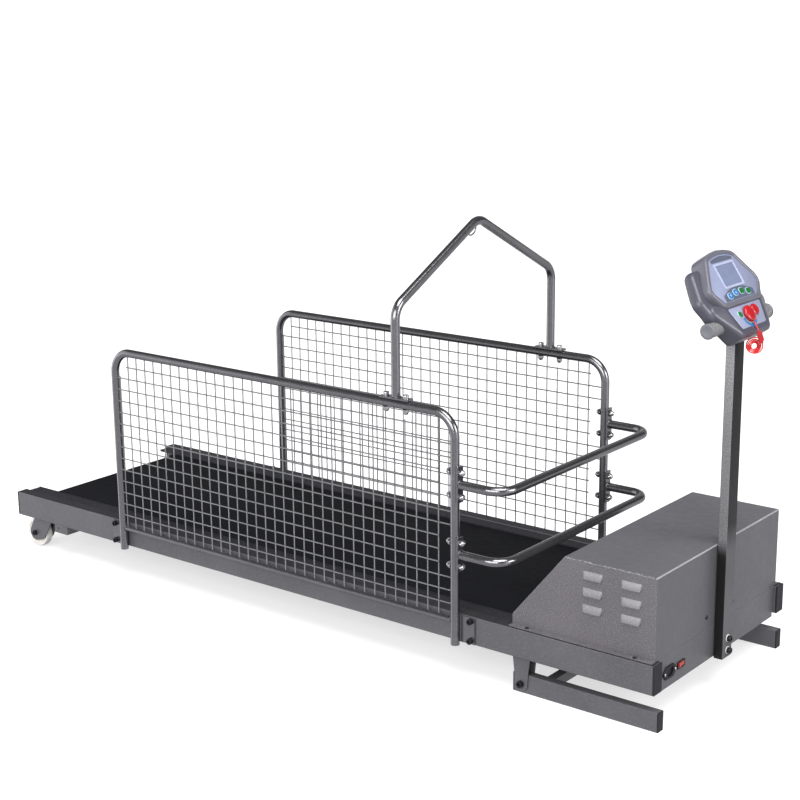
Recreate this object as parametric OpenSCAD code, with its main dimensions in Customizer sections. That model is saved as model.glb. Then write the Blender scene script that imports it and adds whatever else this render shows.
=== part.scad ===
// Dog treadmill with wire mesh side fences, a leash arch, two front bars and a mast console.
// The dog walks towards +X. The origin is on the floor, under the middle of the whole machine.

/* [Deck] */
// Length of the side rails
rail_l = 1830; // [1700:10:2100]
// Height of a side rail
rail_h = 60; // [59:1:64]
// Width of a side rail
rail_w = 30; // [26:1:40]
// Wall of a side rail
rail_wall = 2.5; // [1.5:0.5:4]
// Width over both side rails
deck_w = 550; // [500:10:640]
// Height of the rail tops above the floor
deck_h = 138; // [136:1:150]
// Length of the plastic face of a rail end cap
cap_t = 4; // [2:1:8]
// Thickness of the deck board
board_t = 18; // [12:1:20]
// Gap between the running belt and a foot strip
strip_gap = 2; // [1:0.5:4]
// Ribs on top of a foot strip
strip_ribs = 5; // [3:1:7]
// Distance of the foot strip's rear end from the rail's end
strip_in = 8; // [0:1:30]

/* [Running belt and rollers] */
// Width of a foot strip from the rail's inner face to its edge beside the belt
strip_w = 33; // [28:1:53]
// Thickness of the running belt
belt_t = 2; // [1:0.5:3]
// Depth of the belt's top below the rail tops
belt_drop = 4; // [3:1:6]
// Radius of the rollers
roller_r = 25; // [22:0.5:25]
// Radius of the roller shafts
shaft_r = 7.5; // [6:0.5:8]
// Distance of the rear roller's axis from the rails' rear ends
rear_axis = 74; // [66:1:90]
// Distance of the front roller's axis from the rails' front ends
front_in = 260; // [250:5:330]
// Radius of the pulley on the front roller
pulley_r = 30; // [26:1:31]

/* [Drive] */
// Distance of the motor's axis from the rails' front ends
motor_in = 102; // [90:1:110]
// Height of the motor's axis over the tray
motor_up = 54; // [52:1:80]
// Radius of the motor
motor_r = 46; // [36:1:48]
// Length of the motor
motor_l = 140; // [100:5:180]
// Radius of the motor pulley
motor_pulley_r = 13; // [11:1:18]
// Thickness of the drive belt
drive_t = 3; // [2:0.5:4]

/* [Motor bay] */
// Distance of the hood's front from the rails' front ends
hood_gap = 6; // [2:1:20]
// Length of the hood
hood_l = 324; // [310:2:330]
// Length of the hood's level top
hood_top_l = 203; // [180:1:230]
// Height of the hood
hood_h = 168; // [150:2:220]
// Height of the hood's upright rear lip
hood_lip = 22; // [16:1:40]
// Sheet thickness of the hood
hood_t = 1.5; // [1:0.5:2]
// Inset of the hood's sides from the rails' outer faces
hood_in = 18; // [16:1:20]
// Width of the hood's screw flange
flange_w = 13; // [11:0.5:14]
// Depth of the tray below the rail tops
tray_d = 68; // [66:1:76]
// Length of the tray
tray_l = 209; // [190:1:215]
// Length of a pressed louvre
louvre_l = 44; // [30:1:60]
// Height of a pressed louvre
louvre_h = 18; // [14:1:22]
// Bulge of a pressed louvre
louvre_out = 4; // [2:0.5:6]
// Spacing of the louvre rows
louvre_rise = 34; // [26:1:38]
// Spacing of the louvre columns
louvre_step = 85; // [70:1:95]

/* [Front panel] */
// Distance of the mains inlet from the near rail's inner face
inlet_in = 44; // [35:1:65]
// Distance of the mains switch from the near rail's inner face
switch_in = 90; // [87:1:105]
// Depth of the inlet and the switch below the rail tops
inlet_d = 37; // [32:1:42]
// Tilt of the mains rocker
rocker_tilt = 8; // [5:1:10]

/* [Fence] */
// Diameter of the fence tubes
tube_d = 19; // [16:1:22]
// Diameter of the fence's lower tube
low_tube_d = 12; // [10:1:16]
// Distance of the rear posts from the rails' rear ends
post_x = 400; // [300:10:500]
// Distance of the front posts from the hood's rear end
post_gap = 120; // [92:28:260]
// Height of the top tube's axis over the rail tops
fence_h = 420; // [364:28:504]
// Depth of the lower tube's axis below the rail tops
low_tube_z = 12; // [8:1:16]
// Bend radius of the fence's upper corners
fence_bend = 50; // [35:1:80]
// Length of the posts below the rail tops
post_drop = 65; // [60:1:70]
// Spacing of the mesh wires
mesh_p = 28; // [28:1:56]
// Diameter of a mesh wire
wire_d = 3; // [2:0.5:4]
// Width of a fence mounting plate
mount_w = 44; // [36:1:50]
// Thickness of a fence mounting plate
mount_t = 4; // [3:0.5:5]
// Spacing of the two bolts in a fence mounting plate
mount_pitch = 42; // [30:1:44]

/* [Leash arch] */
// Distance of the arch from the front posts
arch_in = 147; // [130:1:380]
// Height of the arch's shoulders over the rail tops
arch_side = 615; // [560:1:700]
// Height of the arch's apex over the rail tops
arch_top = 762; // [700:1:850]
// Bend radius of the arch
arch_bend = 42; // [30:1:60]
// Length of an arch foot plate
foot_l = 74; // [66:1:90]
// Thickness of an arch foot plate
foot_t = 4; // [3:0.5:6]
// Spacing of the two bolts in a foot plate or a bar plate
pair_pitch = 50; // [46:1:54]
// Inner radius of the leash eye
eye_r = 7; // [6:0.5:10]

/* [Front bars] */
// Reach of the front bars beyond the front posts
bar_reach = 117; // [90:1:160]
// Height of the upper bar over the rail tops
bar_high = 277; // [260:1:290]
// Height of the lower bar over the rail tops
bar_low = 130; // [110:1:150]
// Bend radius of the front bars
bar_bend = 42; // [35:1:60]
// Thickness of a bar's end plate
bar_plate_t = 4; // [3:0.5:6]

/* [Legs and wheels] */
// Distance of the leg pivots from the rails' front ends
pivot_in = 301; // [270:1:330]
// Length of a leg bar in front of its pivot
leg_front = 306; // [260:1:320]
// Length of a leg bar behind its pivot
leg_rear = 18; // [16:1:24]
// Height of a leg bar
leg_h = 40; // [30:1:44]
// Width of a leg bar
leg_w = 20; // [15:1:22]
// Radius of the pivot bolts
pivot_r = 5; // [4:0.5:6]
// Radius of the transport wheels
wheel_r = 37; // [30:0.5:37]
// Width of the transport wheels
wheel_w = 22; // [16:1:24]
// Distance of the wheel axles from the rails' rear ends
wheel_x = 48; // [44:1:60]
// Thickness of the leg bracket and wheel fork plates
fork_t = 3; // [2:0.5:4]
// Radius of a wheel fork's rounded foot
fork_r = 20; // [16:1:24]
// Length of a wheel fork's top plate
fork_l = 62; // [54:1:70]

/* [Mast] */
// Width of the mast
mast_w = 40; // [30:1:50]
// Depth of the mast
mast_d = 20; // [15:1:30]
// Depth of the mast's foot below the rail tops
mast_drop = 71; // [69:1:80]
// Height of the cross tube's axis over the rail tops
cross_h = 613; // [560:1:700]
// Radius of the cross tube
cross_r = 14; // [12:0.5:15]
// Length of the cross tube
cross_l = 240; // [230:2:280]

/* [Console] */
// Lean of the console's face from upright
face_lean = 34; // [28:1:40]
// Depth of the pod
pod_d = 34; // [28:1:40]
// Depth of the recess that holds the faceplate
rim_d = 4; // [3:0.5:5]
// Width of the pod's rim
rim_w = 8; // [6:0.5:10]
// Width of the display
lcd_w = 69; // [60:1:74]
// Height of the display
lcd_h = 43; // [34:1:46]
// Width of an oval button
oval_w = 19; // [16:1:20]
// Height of an oval button
oval_h = 14; // [11:0.5:15]
// Spacing of the oval buttons
oval_step = 24; // [22:0.5:26]
// Radius of the stop button
stop_r = 11.5; // [9:0.5:12]
// Radius of the safety key
key_r = 16.5; // [14:0.5:17]
// Travel of a button
press = 1.2; // [0.8:0.1:1.5]

/* [Lanyard] */
// Diameter of the lanyard cord
cord_d = 2.4; // [2:0.1:2.6]
// Outer radius of the bunched loops
hank_r = 15.5; // [15:0.5:20]

/* [Fits] */
// Running clearance of a shaft or a pivot in its bore
run_c = 0.05; // [0.02:0.01:0.08]
// Clearance between pieces that move past each other
move_c = 0.3; // [0.3:0.1:0.5]
// Radial clearance of a bolt in its hole
bolt_c = 0.2; // [0.1:0.1:0.4]
// Radius of the frame bolts
bolt_r = 4; // [3:0.5:5]

/* [Hidden] */
$fn = 48;

tube_r = tube_d / 2;
half_w = deck_w / 2;
rail_in = half_w - rail_w;
roll_in = roller_r + move_c;
axis_z = -belt_drop - belt_t - roll_in;
strip_y0 = rail_in - strip_w;
belt_w = 2 * (strip_y0 - strip_gap);
roller_half = belt_w / 2 + 4;
front_axis = rail_l - front_in;
motor_x = rail_l - motor_in;
hood_x = rail_l - hood_gap;
board_top = -belt_drop - belt_t;
fence_y = half_w + move_c + tube_r;
front_post = hood_x - hood_l - post_gap;
fence_l = front_post - post_x;
arch_x = front_post - arch_in;
mesh_n = floor((fence_l - tube_d - 2 * wire_d) / mesh_p);
mesh_x0 = post_x + (fence_l - mesh_n * mesh_p) / 2;
mesh_z0 = fence_h - tube_r - wire_d / 2 - 23;
mesh_rows = floor((mesh_z0 + low_tube_z - low_tube_d / 2 - wire_d) / mesh_p);
bar_z = [bar_low, bar_high];
pivot_x = rail_l - pivot_in;
pivot_z = -deck_h + leg_h / 2;
leg_y = half_w - 12 - leg_w / 2;
wheel_y = half_w - 12 - wheel_w / 2;
wheel_z = wheel_r - deck_h;
hood_y = half_w - hood_in;
tray_y = rail_in - move_c;
plate_x = hood_x;
inlet_y = rail_in - inlet_in;
switch_y = rail_in - switch_in;
motor_z = motor_up - tray_d + hood_t;
mast_x = plate_x + mast_d / 2 + move_c;
cross_x = mast_x + 3;
// The console's face passes over the cross tube at this distance along and behind it.
face_b = 85;
face_n = 31;
face_x = cross_x - face_b * sin(face_lean) + face_n * cos(face_lean);
face_z = cross_h + face_b * cos(face_lean) + face_n * sin(face_lean);
chin_b = 124;
chin_n = -3;
panel_t = 1.5;
key_b = 84;
key_a = -4;
key_t = 9;
// The foremost point of the machine is the chin's front edge.
front_reach = face_x + (chin_b - 4) * sin(face_lean) + chin_n * cos(face_lean);
x_mid = (front_reach - cap_t) / 2;

// Moves the local frame, measured from the rails' rear ends and tops, to the floor.
module place() {
    translate([-x_mid, 0, deck_h]) children();
}

// Local frame of the console's face: X down the face, Y across, Z out of it.
module face() {
    translate([face_x, 0, face_z]) rotate([0, 90 - face_lean, 0]) children();
}

module both() {
    children();
    mirror([0, 1, 0]) children();
}

module across(r, l) {
    rotate([90, 0, 0]) cylinder(h = l, r = r, center = true);
}

module along(r, l) {
    rotate([0, 90, 0]) cylinder(h = l, r = r, center = true);
}

// A round rod from point a to point b.
module rod(a, b, r) {
    v = b - a;
    translate(a)
        rotate([0, acos(v.z / norm(v)), atan2(v.y, v.x)])
            cylinder(h = norm(v), r = r);
}

function unit(v) = v / norm(v);
function turn(u, v) = acos(max(-1, min(1, u * v)));
function setback(p, i, bend) = bend * tan(turn(unit(p[i] - p[i - 1]), unit(p[i + 1] - p[i])) / 2);

// A round bar bent through the points p, with one bend radius.
module bent_bar(p, bend, r) {
    n = len(p) - 1;
    for (i = [0 : n - 1]) {
        u = unit(p[i + 1] - p[i]);
        s = i == 0 ? 0 : setback(p, i, bend);
        e = i == n - 1 ? 0 : setback(p, i + 1, bend);
        rod(p[i] + s * u, p[i + 1] - e * u, r);
    }
    for (i = [1 : n - 1]) {
        u = unit(p[i] - p[i - 1]);
        v = unit(p[i + 1] - p[i]);
        a = turn(u, v);
        inward = (v - u * cos(a)) / sin(a);
        c = p[i] - setback(p, i, bend) * u + bend * inward;
        z = cross(-inward, u);
        multmatrix([[-inward.x, u.x, z.x, c.x], [-inward.y, u.y, z.y, c.y],
                [-inward.z, u.z, z.z, c.z], [0, 0, 0, 1]])
            rotate_extrude(angle = a) translate([bend, 0]) circle(r);
    }
}

// A hexagon nut with a domed end, its seat at the origin and its axis along Z.
module dome_nut(r) {
    linear_extrude(r * 1.3) circle(r * 1.85, $fn = 6);
    translate([0, 0, r * 1.3]) intersection() {
        sphere(r * 1.5);
        cylinder(h = r * 2, r = r * 2);
    }
}

// A socket head with its seat at the origin and its axis along Z.
module socket_head(r) {
    difference() {
        cylinder(h = r * 1.9, r = r * 1.6);
        translate([0, 0, r]) linear_extrude(r) circle(r * 0.8, $fn = 6);
    }
}

// A low round screw head with a cross recess.
module pan_head(r) {
    difference() {
        cylinder(h = r * 0.7, r = r);
        translate([0, 0, r * 0.7]) cube([r * 1.1, r * 0.3, r * 0.6], center = true);
        translate([0, 0, r * 0.7]) cube([r * 0.3, r * 1.1, r * 0.6], center = true);
    }
}

// An outline with a straight middle and round ends, w across and h high.
module oval(w, h) {
    translate([0, (w - h) / 2]) circle(h / 2);
    translate([0, -(w - h) / 2]) circle(h / 2);
    square([h, w - h], center = true);
}

module round_rect(x, y, r) {
    square([x, y - 2 * r], center = true);
    square([x - 2 * r, y], center = true);
    for (sx = [-1, 1], sy = [-1, 1])
        translate([sx * (x / 2 - r), sy * (y / 2 - r)]) circle(r);
}

// The space inside a belt of height h round two wheels of radii r1 and r2, d apart along X.
// Its runs lie a fiftieth of a millimetre inside the tangents, so that they cut the wheels.
module belt_space(r1, r2, d, h) {
    b = acos((r1 - r2) / d);
    e = [cos(b), sin(b)];
    g = [cos(b), -sin(b)];
    cylinder(h = h, r = r1);
    translate([d, 0, 0]) cylinder(h = h, r = r2);
    linear_extrude(h) polygon([(r1 - 0.02) * e, [d, 0] + (r2 - 0.02) * e,
        [d, 0] + (r2 - 0.02) * g, (r1 - 0.02) * g]);
}

// A smooth tube of radius r through the points p, with flat ends.
module swept(p, r, sides, ref) {
    n = len(p);
    tang = [for (i = [0 : n - 1]) unit(p[min(i + 1, n - 1)] - p[max(i - 1, 0)])];
    ring = [for (i = [0 : n - 1]) let (s = unit(cross(ref, tang[i])), q = cross(tang[i], s))
        for (k = [0 : sides - 1]) p[i] + r * (cos(360 * k / sides) * s + sin(360 * k / sides) * q)];
    skin = [for (i = [0 : n - 2], k = [0 : sides - 1])
        let (a = i * sides + k, b = i * sides + (k + 1) % sides)
        for (t = [[a, a + sides, b], [b, a + sides, b + sides]]) t];
    first = [for (k = [1 : sides - 2]) [0, k, k + 1]];
    last = [for (k = [1 : sides - 2]) (n - 1) * sides * [1, 1, 1] + [0, k + 1, k]];
    polyhedron(points = ring, faces = concat(skin, first, last), convexity = 6);
}

// Rails, deck and belt

module rail() {
    difference() {
        translate([0, rail_in, -rail_h]) cube([rail_l, rail_w, rail_h]);
        translate([-1, rail_in + rail_wall, -rail_h + rail_wall])
            cube([rail_l + 2, rail_w - 2 * rail_wall, rail_h - 2 * rail_wall]);
        rear_slot();
        translate([front_axis, rail_in, axis_z]) across(shaft_r + bolt_c, 3 * rail_wall);
        rail_bolt_holes();
        for (x = hood_screw_x())
            translate([x, hood_y + flange_w / 2, -rail_wall - 1]) cylinder(h = 9, r = 2 + bolt_c);
    }
    translate([rear_axis + 40, rail_in - 14, board_top - board_t - 3])
        cube([front_axis - rear_axis - 80, 14, 3]);
}

module rear_slot() {
    for (dx = [-12, 12])
        translate([rear_axis + dx, rail_in, axis_z]) across(shaft_r + bolt_c, 3 * rail_wall);
    translate([rear_axis, rail_in, axis_z])
        cube([24, 3 * rail_wall, 2 * (shaft_r + bolt_c)], center = true);
}

function mount_bolt_x() = [post_x - tube_r * 0.4 - mount_w + 13.5, front_post + tube_r * 0.4 + mount_w - 13.5];

module rail_bolt_holes() {
    for (x = mount_bolt_x(), s = [-1, 1])
        translate([x, half_w, -rail_h / 2 + s * mount_pitch / 2])
            across(bolt_r + bolt_c, 3 * rail_wall);
}

module rail_near() {
    color("dimgray") place() mirror([0, 1, 0]) rail();
}

module rail_far() {
    color("dimgray") place() rail();
}

module rail_caps() {
    color("#2b2b2e") place() both() for (e = [0, 1])
        translate([e * rail_l, rail_in, -rail_h]) mirror([1 - e, 0, 0]) {
            cube([cap_t, rail_w, rail_h]);
            translate([-12, rail_wall + move_c, rail_wall + move_c])
                cube([12, rail_w - 2 * (rail_wall + move_c), rail_h - 2 * (rail_wall + move_c)]);
        }
}

module foot_strips() {
    w = rail_in - move_c - strip_y0;
    p = (w - 4) / strip_ribs;
    color("#303034") place() both()
        translate([strip_in, 0, 0]) rotate([90, 0, 90])
            linear_extrude(front_axis - 30 - strip_in) {
                translate([strip_y0, board_top]) square([w, belt_drop + belt_t - 2.2]);
                translate([strip_y0, board_top]) square([2, belt_drop + belt_t]);
                for (i = [0 : strip_ribs - 1])
                    translate([strip_y0 + 4 + p * i, board_top]) square([p * 0.55, belt_drop + belt_t - 0.8]);
            }
}

module deck_board() {
    color("#3a3a3c") place()
        translate([rear_axis + 36, -rail_in + move_c, board_top - board_t])
            cube([front_axis - rear_axis - 72, 2 * (rail_in - move_c), board_t]);
}

module slot(r) {
    l = front_axis - rear_axis;
    union() {
        circle(r);
        translate([l, 0]) circle(r);
        translate([0, -r]) square([l, 2 * r]);
    }
}

module running_belt() {
    color("#1d1d20") place()
        translate([rear_axis, belt_w / 2, axis_z]) rotate([90, 0, 0]) linear_extrude(belt_w)
            difference() {
                slot(roll_in + belt_t);
                slot(roll_in);
            }
}

module inner_cross_tubes() {
    z = board_top - board_t;
    color("#55555a") place() for (k = [1 : 3])
        translate([rear_axis + k * (front_axis - rear_axis) / 4 - 15, -rail_in + 15, z - 22])
            difference() {
                cube([30, 2 * rail_in - 30, 22]);
                translate([2, -1, 2]) cube([26, 2 * rail_in, 18]);
            }
}

module rear_cross_tube() {
    color("dimgray") place() translate([wheel_x + 86, -half_w, -rail_h - 20]) difference() {
        cube([46, deck_w, 20]);
        translate([2, 2, 2]) cube([42, deck_w - 4, 16]);
        translate([14, 0, 12]) across(2.5, 9);
        translate([14, deck_w, 12]) across(2.5, 9);
    }
}

module roller(x) {
    translate([x, 0, axis_z]) difference() {
        across(roller_r, 2 * roller_half);
        across(shaft_r + run_c, 2 * roller_half + 2);
        for (s = [-1, 1])
            translate([0, s * roller_half, 0]) difference() {
                across(roller_r - 3, 6);
                across(shaft_r + 5, 8);
            }
    }
}

module front_roller() {
    color("silver") place() roller(front_axis);
}

module rear_roller() {
    color("silver") place() roller(rear_axis);
}

module roller_shafts() {
    l = 2 * (rail_in + rail_wall) + 16;
    color("#8b8b90") place() {
        translate([front_axis, 0, axis_z]) across(shaft_r, l);
        translate([rear_axis, 0, axis_z]) difference() {
            across(shaft_r, l);
            for (s = [-1, 1])
                translate([0, s * (rail_in - 16), 0]) along(bolt_r + bolt_c, 3 * shaft_r);
        }
    }
}

// Outline of a grooved pulley, r outside and w wide.
module grooved(r, w) {
    difference() {
        cylinder(h = w, r = r);
        for (k = [0 : 3])
            translate([0, 0, w / 2 - 5 + k * 3]) rotate_extrude()
                translate([r - 1, 0]) square([2, 1.2]);
    }
}

pulley_y = roller_half + 2;
pulley_w = 16;

module roller_pulley() {
    color("#46464a") place()
        translate([front_axis, roller_half + pulley_w + 2, axis_z]) rotate([90, 0, 0])
            difference() {
                union() {
                    grooved(pulley_r, pulley_w);
                    cylinder(h = pulley_w + 2, r = shaft_r + 5);
                }
                translate([0, 0, -1]) cylinder(h = pulley_w + 4, r = shaft_r + run_c);
                for (k = [0 : 4])
                    rotate(72 * k) translate([pulley_r * 0.66, 0, -1])
                        cylinder(h = pulley_w + 4, r = 4);
            }
}

module belt_adjusters() {
    color("#9a9aa0") place() both() translate([0, rail_in - 16, axis_z]) {
        difference() {
            translate([26, -8, -14]) cube([5, 24, 28]);
            translate([28, 0, 0]) along(bolt_r + bolt_c, 9);
        }
        translate([26, 0, 0]) rotate([0, -90, 0]) socket_head(bolt_r);
        translate([26, 0, 0]) rotate([0, 90, 0]) cylinder(h = rear_axis - 26 + 10, r = bolt_r);
    }
}

// Drive

rotor_r = 6;
motor_y = 52;

module motor() {
    color("#3c3c40") place() translate([motor_x, motor_y, motor_z]) {
        difference() {
            union() {
                across(motor_r, motor_l - 36);
                for (s = [-1, 1])
                    translate([0, s * (motor_l / 2 - 9), 0]) across(motor_r - 4, 18);
                for (s = [-1, 1])
                    translate([-30, s * 34 - 8, -motor_up]) cube([60, 16, motor_up - motor_r + 10]);
            }
            across(rotor_r + run_c, motor_l + 2);
            for (k = [0 : 7], s = [-1, 1])
                rotate([0, 45 * k, 0]) translate([motor_r - 14, s * motor_l / 2, 0]) across(5, 12);
        }
    }
}

module motor_rotor() {
    color("#8b8b90") place() translate([motor_x, 0, motor_z]) {
        translate([0, (motor_y - motor_l / 2 - 6 + roller_half + pulley_w + 4) / 2, 0])
            across(rotor_r, roller_half + pulley_w + 4 - (motor_y - motor_l / 2 - 6));
        translate([0, motor_y + motor_l / 2 + 14, 0]) across(motor_r - 8, 14);
        translate([0, roller_half + pulley_w + 2, 0]) rotate([90, 0, 0]) grooved(motor_pulley_r, pulley_w);
    }
}

module drive_belt() {
    c = [motor_x - front_axis, motor_z - axis_z];
    w = pulley_w - 4;
    color("#202022") place()
        translate([front_axis, roller_half + pulley_w, axis_z]) rotate([90, 0, 0]) rotate([0, 0, atan2(c.y, c.x)])
            difference() {
                union() belt_space(pulley_r + move_c + drive_t, motor_pulley_r + move_c + drive_t, norm(c), w);
                translate([0, 0, -1])
                    union() belt_space(pulley_r + move_c, motor_pulley_r + move_c, norm(c), w + 2);
            }
}

module controller() {
    color("#3f5a44") place() translate([plate_x - tray_l + 30, 55 - rail_in, -tray_d + hood_t]) {
        l = tray_l - 69;
        cube([l, 110, 6]);
        translate([6, 6, 6]) cube([l - 12, 60, 26]);
        for (k = [0 : 7]) translate([8 + (l - 28) * k / 7, 74, 6]) cube([3, 30, 34]);
    }
}

// Motor bay

module tray() {
    x0 = plate_x - tray_l;
    color("#5b5b60") place() difference() {
        union() {
            translate([x0, -tray_y, -tray_d]) cube([tray_l, 2 * tray_y, hood_t]);
            translate([plate_x - hood_t, -tray_y, -tray_d]) cube([hood_t, 2 * tray_y, tray_d - 0.6]);
            for (s = [-1, 1])
                translate([x0, s * (tray_y - hood_t / 2) - hood_t / 2, -tray_d])
                    cube([tray_l, hood_t, tray_d - 12]);
        }
        translate([plate_x, -inlet_y, -inlet_d]) rotate([90, 0, 90])
            linear_extrude(9, center = true) round_rect(28.6, 20.6, 3);
        for (s = [-1, 1])
            translate([plate_x, -inlet_y + s * 20, -inlet_d]) along(1.75 + bolt_c, 9);
        translate([plate_x, -switch_y, -inlet_d]) cube([9, 26.6, 11.6], center = true);
        for (z = mast_bolt_z()) translate([plate_x, 0, z]) along(bolt_r + bolt_c, 9);
    }
}

hood_screw_y = 55;
function hood_screw_x() = [hood_x - hood_l + 40, hood_x - 40];
function hood_outline(g) = [[hood_x - g, g > 0 ? -5 : 0], [hood_x - g, hood_h - g],
    [hood_x - hood_top_l + g * 0.6, hood_h - g], [hood_x - hood_l + g, hood_lip - g * 0.4],
    [hood_x - hood_l + g, g > 0 ? -5 : 0]];

// One pressed louvre on a side plate at the origin, bulging along +Y and open below.
module louvre(r, deep) {
    translate([0, -deep, 0]) {
        along(r, louvre_l - louvre_h);
        for (s = [-1, 1]) translate([s * (louvre_l - louvre_h) / 2, 0, 0]) sphere(r);
    }
}

module hood_louvres(r, deep) {
    for (k = [-1 : 1], j = [0, 1])
        translate([hood_x - 54 - louvre_step * j, hood_y, hood_h - 61 + louvre_rise * k]) louvre(r, deep);
}

module hood() {
    lr = (louvre_out * louvre_out + louvre_h * louvre_h / 4) / (2 * louvre_out);
    dp = lr - louvre_out;
    color("#6a6a70") place() difference() {
        union() {
            translate([0, hood_y, 0]) rotate([90, 0, 0])
                linear_extrude(2 * hood_y) polygon(hood_outline(0));
            both() translate([hood_x - hood_l, hood_y - 1, 0]) cube([hood_l, flange_w + 1, hood_t]);
            both() intersection() {
                hood_louvres(lr, dp);
                translate([hood_x - hood_l, hood_y - 1, 20]) cube([hood_l, 20, hood_h]);
                for (k = [-1 : 1])
                    translate([hood_x - hood_l, hood_y - 1, hood_h - 64 + louvre_rise * k]) cube([hood_l, 20, 30]);
            }
        }
        translate([0, hood_y - hood_t, 0]) rotate([90, 0, 0])
            linear_extrude(2 * (hood_y - hood_t)) polygon(hood_outline(hood_t));
        both() intersection() {
            hood_louvres(lr - 1, dp);
            for (k = [-1 : 1])
                translate([hood_x - hood_l, hood_y - 10, hood_h - 73 + louvre_rise * k]) cube([hood_l, 30, 22]);
        }
        both() for (x = hood_screw_x())
            translate([x, hood_y + flange_w / 2, -1]) cylinder(h = 9, r = 2 + bolt_c);
        for (s = [-1, 1]) translate([hood_x, s * hood_screw_y, 26]) along(2 + bolt_c, 9);
        translate([hood_x - hood_l - 1, -rail_in, -1]) cube([9, 2 * rail_in, 4]);
    }
}

// Local frame of the front plate: Z out of it, Y up.
module on_plate(y) {
    translate([plate_x, -y, -inlet_d]) rotate([90, 0, 90]) children();
}

module mains_inlet() {
    color("#1a1a1c") place() on_plate(inlet_y) {
        difference() {
            union() {
                linear_extrude(3) difference() {
                    union() {
                        round_rect(36, 26, 5);
                        for (s = [-1, 1]) translate([s * 20, 0]) circle(5.5);
                    }
                    for (s = [-1, 1]) translate([s * 20, 0]) circle(1.75 + bolt_c);
                }
                translate([0, 0, -22]) linear_extrude(24) round_rect(28, 20, 3);
            }
            translate([0, 0, -14]) linear_extrude(18)
                polygon([[-12, 8], [12, 8], [12, -4], [7, -8], [-7, -8], [-12, -4]]);
        }
        for (p = [[-7, 1], [7, 1], [0, -3]])
            translate([p.x - 2, p.y - 1, -14.5]) cube([4, 2, 13]);
    }
}

module panel_screws() {
    color("#1c1c1e") place() {
        both() for (x = hood_screw_x()) translate([x, hood_y + flange_w / 2, hood_t]) {
            pan_head(4);
            translate([0, 0, -8]) cylinder(h = 8, r = 2);
        }
        for (s = [-1, 1]) translate([hood_x, s * hood_screw_y, 26]) rotate([0, 90, 0]) {
            pan_head(4);
            translate([0, 0, -8]) cylinder(h = 8, r = 2);
        }
        on_plate(inlet_y) for (s = [-1, 1]) translate([s * 20, 0, 3]) {
            pan_head(3);
            translate([0, 0, -9]) cylinder(h = 9, r = 1.75);
        }
    }
}

module switch_bezel() {
    color("#18181a") place() on_plate(switch_y) difference() {
        union() {
            linear_extrude(2) round_rect(30, 15, 2);
            translate([0, 0, -14]) linear_extrude(14.5) square([26, 11], center = true);
        }
        translate([0, 0, -9]) linear_extrude(12) square([24.4, 9.4], center = true);
    }
}

module switch_rocker() {
    color("#c23a30") place() on_plate(switch_y) rotate([0, rocker_tilt, 0]) difference() {
        rotate([90, 0, 0]) intersection() {
            linear_extrude(8.6, center = true)
                polygon([[-11.6, 3.4], [0, 1.6], [11.6, 3.4], [11.6, -1], [5, -5], [-5, -5], [-11.6, -1]]);
            cylinder(h = 9, r = 12, center = true);
        }
        translate([0, 0, -9]) cube([30, 30, 3], center = true);
    }
}

// Fence

module fence_frame() {
    path = [[post_x, 0, -post_drop], [post_x, 0, fence_h], [front_post, 0, fence_h],
        [front_post, 0, -post_drop]];
    color("#9a9aa0") place() translate([0, fence_y, 0]) difference() {
        union() {
            bent_bar(path, fence_bend, tube_r);
            rod([post_x + tube_r * 0.8, 0, -low_tube_z], [front_post - tube_r * 0.8, 0, -low_tube_z],
                low_tube_d / 2);
            for (s = [0, 1])
                translate([s == 0 ? post_x - tube_r * 0.4 - mount_w + 4 : front_post + tube_r * 0.4 - 4,
                    -tube_r - move_c, -rail_h + 1.5])
                    cube([mount_w, mount_t, rail_h - 3]);
        }
        for (x = [post_x, front_post])
            translate([x, 0, -post_drop - 1]) cylinder(h = 26, r = tube_r - 1.5);
        for (x = mount_bolt_x(), s = [-1, 1])
            translate([x, -tube_r, -rail_h / 2 + s * mount_pitch / 2]) across(bolt_r + bolt_c, 12);
        for (z = bar_z, s = [-1, 1])
            translate([front_post, 0, z + s * pair_pitch / 2]) along(bolt_r + bolt_c, 2 * tube_d);
        for (s = [-1, 1])
            translate([arch_x + s * pair_pitch / 2, 0, fence_h - tube_d])
                cylinder(h = 2 * tube_d, r = bolt_r + bolt_c);
    }
}

module fence_frame_far() {
    fence_frame();
}

module fence_frame_near() {
    mirror([0, 1, 0]) fence_frame();
}

// Every third wire runs to the frame; the rest stop just past the outermost wire they cross.
function near_bolt(z) = min([for (b = bar_z, s = [-1, 1]) abs(z - b - s * pair_pitch / 2)]) < mesh_p * 0.46
    || min([for (b = bar_z) abs(z - b)]) < pair_pitch / 2;
function corner(x) = max(0, post_x + fence_bend - x, x - front_post + fence_bend);
function under_tube(x) = fence_h - fence_bend
    + sqrt(pow(fence_bend - tube_r, 2) - pow(min(corner(x) + wire_d / 2, fence_bend - tube_r), 2));
function near_foot(x) = min([for (s = [-1, 1]) abs(x - arch_x - s * pair_pitch / 2)])
    < bolt_r * 1.85 + wire_d / 2 + move_c;
function row_z(j) = mesh_z0 - j * mesh_p;
function col_x(k) = mesh_x0 + k * mesh_p;

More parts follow.
